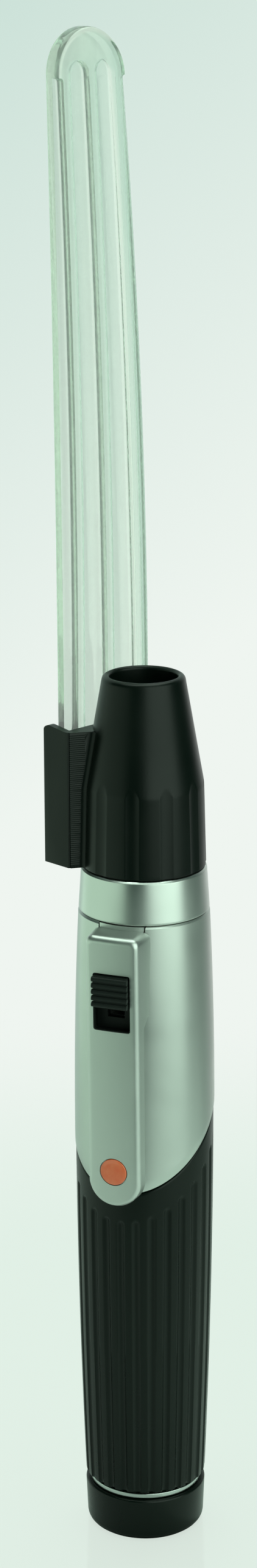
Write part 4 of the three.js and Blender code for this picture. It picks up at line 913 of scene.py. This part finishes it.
def blade_half_outline(inset):
    """The right half of the blade's outline, from its foot's corner to its tip, pulled in by inset."""
    foot_z, foot_r = BLADE_Z + BLADE_FOOT_ROUND, BLADE_FOOT_ROUND - inset
    corners = [pi / 2 * (k / 6 - 1) for k in range(7)]
    line = [(BLADE_HALF - BLADE_FOOT_ROUND + foot_r * cos(t), foot_z + foot_r * sin(t)) for t in corners]
    straight = TIP_MIDDLE - BLADE_Z - BLADE_FOOT_ROUND
    heights = [foot_z + straight * k / BLADE_ROWS for k in range(1, BLADE_ROWS)]
    line += [(blade_half(z) - inset, z) for z in heights]
    tip_r = TIP_R - inset
    return line + [(tip_r * cos(t), TIP_MIDDLE + tip_r * sin(t)) for t in quarter(32)]


# rings of the outline from the front face round the edge to the back face
blade_layers = [(BLADE_EDGE * (1 - cos(t)), BLADE_EDGE * (1 - sin(t))) for t in quarter(7)]
blade_layers += [(BLADE_BACK - BLADE_FRONT - depth, inset) for depth, inset in reversed(blade_layers)]
blade_rings = []
for depth, inset in blade_layers:
    right_side = [(x, BLADE_FRONT + depth + blade_bow(z), z) for x, z in blade_half_outline(inset)]
    blade_rings.append(right_side + [(-x, y, z) for x, y, z in reversed(right_side[:-1])])
blade_mesh = skin(blade_rings, open_ends=True)
blade_mesh.verts.ensure_lookup_table()
count = len(blade_rings[0])
for face in (blade_mesh.verts[:count], blade_mesh.verts[-count:]):
    for i in range(count // 2 - 1):
        blade_mesh.faces.new((face[i], face[i + 1], face[-i - 2], face[-i - 1]))
    blade_mesh.faces.new(face[count // 2 - 1 : count // 2 + 2])
tongue_blade = finished("tongue_blade_moulding", blade_mesh, 40)


def rib_spacing(z):
    """The side ribs' distance from the middle, narrowing to the tip."""
    share = max(0, z - BLADE_Z - BLADE_STRAIGHT) / (BLADE_TIP_Z - BLADE_Z - BLADE_STRAIGHT)
    return RIB_FOOT - RIB_TAPER * share


def channel_tool(side, inner):
    """A cutter for one channel of the blade's front, between the ribs or outside them, with rounds along its
    floor and a round end inside the tip's outline."""
    near = RIB_HALF if inner else rib_spacing(TIP_MIDDLE) + RIB_HALF
    far = rib_spacing(TIP_MIDDLE) - RIB_HALF if inner else TIP_R
    radius = (far - near) / 2
    reach = sqrt(max(0, (TIP_R - CHANNEL_TIP_WALL) ** 2 - ((near + far) / 2) ** 2 / 2))
    stop = TIP_MIDDLE + reach - radius - (CHANNEL_INNER_DROP if inner else 0)
    rings = []
    heights = [BLADE_Z - 1] + [BLADE_Z + (stop - BLADE_Z) * k / BLADE_ROWS for k in range(BLADE_ROWS + 1)]
    heights += [stop + radius * sin(t) for t in quarter(12)[1:-1]]
    for z in heights:
        a = RIB_HALF if inner else rib_spacing(z) + RIB_HALF
        b = rib_spacing(z) - RIB_HALF if inner else CHANNEL_OUT
        if z > stop:
            shrink = radius - sqrt(max(0, radius**2 - (z - stop) ** 2))
            a, b = a + shrink, max(a + shrink + 0.05, (b if inner else far + 3) - shrink)
        bow = blade_bow(z)
        low, high = BLADE_FRONT - 1 + bow, BLADE_FRONT + RIB_TALL + bow
        round_r = min(CHANNEL_ROUND, (b - a) / 2.5)
        far_round = [(b - round_r + round_r * cos(t), high - round_r + round_r * sin(t))
                     for t in quarter(5)]
        near_round = [(a + b - x, y) for x, y in reversed(far_round)]
        section = [(a, low), (b, low)] + far_round + near_round
        rings.append([(side * x, y, z) for x, y in section])
    return finished("channel_tool", skin(rings, capped=True))


for side in (-1, 1):
    for inner in (True, False):
        carve(tongue_blade, channel_tool(side, inner), smooth_angle=40)
tongue_blade.data.transform(HEAD_PLACE)
dress(tongue_blade, clear_glass("clear_green_acrylic", "#f8fdf9", 1.49, 0.8, "#a8e8b4", 58.0))
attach(tongue_blade, "blade")
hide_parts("tongue_blade")


# Stage. A pale mint sheet with a little gloss that fades into a pale backdrop, lit by a softbox to the right
# of the camera that is kept off the sheet, a low card beyond it, a panel to the left, a soft light overhead
# and a small card that lies on the sheet. The room behind the camera is dark. Lengths here are in metres.
CAMERA_TURN = radians(21)
FLOOR_HALF, FADE_FROM, FADE_TO, EVEN_SHARE, LAMP_MIDDLE = 6, 0.1, 0.26, 0.82, Vector((0, 0, 0.13))
towards_camera = Vector((sin(CAMERA_TURN), -cos(CAMERA_TURN), 0))
to_the_right = Vector((cos(CAMERA_TURN), sin(CAMERA_TURN), 0))
floor_mesh = bpy.data.meshes.new("studio_floor")
floor_corners = [(x * FLOOR_HALF, y * FLOOR_HALF, 0) for x, y in ((-1, -1), (1, -1), (1, 1), (-1, 1))]
floor_mesh.from_pydata(floor_corners, [], [(0, 1, 2, 3)])
floor = placed("studio_floor", floor_mesh)
# the camera sees an even pale sheet with the lamp's soft shadow and mirror image
floor_sheet, tree, where = new_finish("mint_acrylic_sheet")
reach = add_node(tree, "ShaderNodeVectorMath", None, {0: where["Vector"]}, operation="LENGTH")
fade = add_node(tree, "ShaderNodeMapRange", {"From Min": FADE_FROM, "From Max": FADE_TO},
                {"Value": reach.outputs["Value"]}, interpolation_type="SMOOTHSTEP")
ray = add_node(tree, "ShaderNodeLightPath")
even = add_node(tree, "ShaderNodeMath", {1: EVEN_SHARE}, {0: ray.outputs["Is Camera Ray"]},
                operation="MULTIPLY")
lit = add_node(tree, "ShaderNodeBsdfDiffuse", {"Color": linear("#e8eeea")})
pale = add_node(tree, "ShaderNodeEmission", {"Color": linear("#ecf8ef"), "Strength": 1.0})
sheet = add_node(tree, "ShaderNodeMixShader", None, {0: even, 1: lit, 2: pale})
mirror = add_node(tree, "ShaderNodeBsdfGlossy", {"Roughness": 0.06})
glance = add_node(tree, "ShaderNodeFresnel", {"IOR": 1.4})
polished = add_node(tree, "ShaderNodeMixShader", None, {0: glance, 1: sheet, 2: mirror})
beyond = add_node(tree, "ShaderNodeBsdfTransparent")
sweep = add_node(tree, "ShaderNodeMixShader", None, {0: fade, 1: polished, 2: beyond})
add_node(tree, "ShaderNodeOutputMaterial", None, {"Surface": sweep})
floor_mesh.materials.append(floor_sheet)


def around(degrees, distance, height):
    """A point round the lamp, in degrees to the right of the camera."""
    turn = radians(degrees)
    level = towards_camera * cos(turn) + to_the_right * sin(turn)
    return level * distance + Vector((0, 0, height))


def soft_light(name, spot, width, tall, power, colour, lean=0, facing=None):
    """A rectangular soft light that faces the middle of the lamp, or as it is told, leaned sideways by some
    degrees. Clear pieces show the backdrop instead of it."""
    lamp = bpy.data.lights.new(name, "AREA")
    lamp.shape = "RECTANGLE"
    lamp.size, lamp.size_y, lamp.energy = width, tall, power
    lamp.color = linear(colour)[:3]
    holder = placed(name, lamp)
    facing = facing or (LAMP_MIDDLE - spot).to_track_quat("-Z", "Y").to_matrix().to_4x4()
    holder.matrix_world = Matrix.Translation(spot) @ facing @ Matrix.Rotation(radians(lean), 4, "Z")
    holder.visible_camera = False
    holder.visible_transmission = False
    return holder


off_floor = bpy.data.collections.new("off_floor")
off_floor.objects.link(floor)
off_floor.collection_objects[0].light_linking.link_state = "EXCLUDE"
softbox = soft_light("right_softbox", around(40, 0.9, 0.37), 1.25, 1.1, 8.7, "#e8ffef", -8)
softbox.light_linking.receiver_collection = off_floor
soft_light("right_card", around(98, 0.9, -0.3), 1.2, 0.36, 0.4, "#e8ffef")
soft_light("left_panel", around(-88, 0.8, 0.0), 2.1, 0.64, 3.7, "#defee4")
soft_light("overhead", around(180, 0.2, 1.3), 1.2, 1.2, 15.0, "#e8ffef")
card_spot = towards_camera * 0.10 + to_the_right * 0.14 + Vector((0, 0, 0.0006))
face_up = Matrix.Rotation(CAMERA_TURN, 4, "Z") @ Matrix.Rotation(pi, 4, "X")
soft_light("floor_card", card_spot, 0.26, 0.30, 0.05, "#e0ffea", facing=face_up)

world = bpy.data.worlds.new("mint_studio")
bpy.context.scene.world = world
world.use_nodes = True
tree = world.node_tree
tree.nodes.clear()
heading = add_node(tree, "ShaderNodeTexCoord").outputs["Generated"]
ray = add_node(tree, "ShaderNodeLightPath")
# the backdrop is a little darker at its upper left
BACKDROP_SLOPE = to_the_right * 3.3 - Vector((0, 0, 3.9))
across = add_node(tree, "ShaderNodeVectorMath", {1: BACKDROP_SLOPE}, {0: heading}, operation="DOT_PRODUCT")
backdrop = add_node(tree, "ShaderNodeValToRGB", None, {0: across.outputs["Value"]})
backdrop.color_ramp.elements[0].color = linear("#cde2d9")
backdrop.color_ramp.elements[1].color = linear("#eff5f0")
# metal sees the backdrop only straight behind, clear pieces in a wide round, and the camera everywhere: both
# limits of a round are cosines
behind = add_node(tree, "ShaderNodeVectorMath", {1: -towards_camera}, {0: heading}, operation="DOT_PRODUCT")
narrow = add_node(tree, "ShaderNodeMapRange", {"From Min": 0.47, "From Max": 0.95},
                  {"Value": behind.outputs["Value"]}, interpolation_type="SMOOTHSTEP")
wide = add_node(tree, "ShaderNodeMapRange", {"From Min": -2.0, "From Max": 0.0},
                {"Value": behind.outputs["Value"]}, interpolation_type="SMOOTHSTEP")
clear = add_node(tree, "ShaderNodeMath", None, {0: wide, 1: ray.outputs["Is Transmission Ray"]},
                 operation="MULTIPLY")
shows = add_node(tree, "ShaderNodeMath", None, {0: narrow, 1: clear}, operation="MAXIMUM")
seen = add_node(tree, "ShaderNodeMath", None, {0: shows, 1: ray.outputs["Is Camera Ray"]},
                operation="MAXIMUM")
room = add_node(tree, "ShaderNodeMix", {6: linear("#2f423c")}, {0: seen, 7: backdrop}, data_type="RGBA")
air = add_node(tree, "ShaderNodeBackground", {"Strength": 1.0}, {"Color": room.outputs[2]})
add_node(tree, "ShaderNodeOutputWorld", None, {"Surface": air})
bpy.context.scene.view_settings.view_transform = "Standard"


# Camera. Long lens at the photograph's height and angle, in metres, a little to the right of the clip. It
# looks slightly down. Its angles are in radians.
CAMERA_BACK, CAMERA_TALL, CAMERA_LENS, CAMERA_SENSOR = 0.49418, 0.27708, 71.46, 36
pitch, yaw, roll = 0.281027, -0.00513, -0.00384
forward = Vector((sin(yaw) * cos(pitch), cos(yaw) * cos(pitch), -sin(pitch)))
right = Vector((cos(yaw), -sin(yaw), 0))
up = right.cross(forward)
right, up = right * cos(roll) + up * sin(roll), up * cos(roll) - right * sin(roll)
aim = Matrix((right, up, -forward)).transposed().to_4x4()
place = Matrix.Rotation(CAMERA_TURN, 4, "Z") @ Matrix.Translation((0, -CAMERA_BACK, CAMERA_TALL))
camera_data = bpy.data.cameras.new("studio_camera")
camera_data.lens = CAMERA_LENS
camera_data.sensor_width = CAMERA_SENSOR
camera = placed("studio_camera", camera_data)
camera.matrix_world = place @ aim
bpy.context.scene.camera = camera
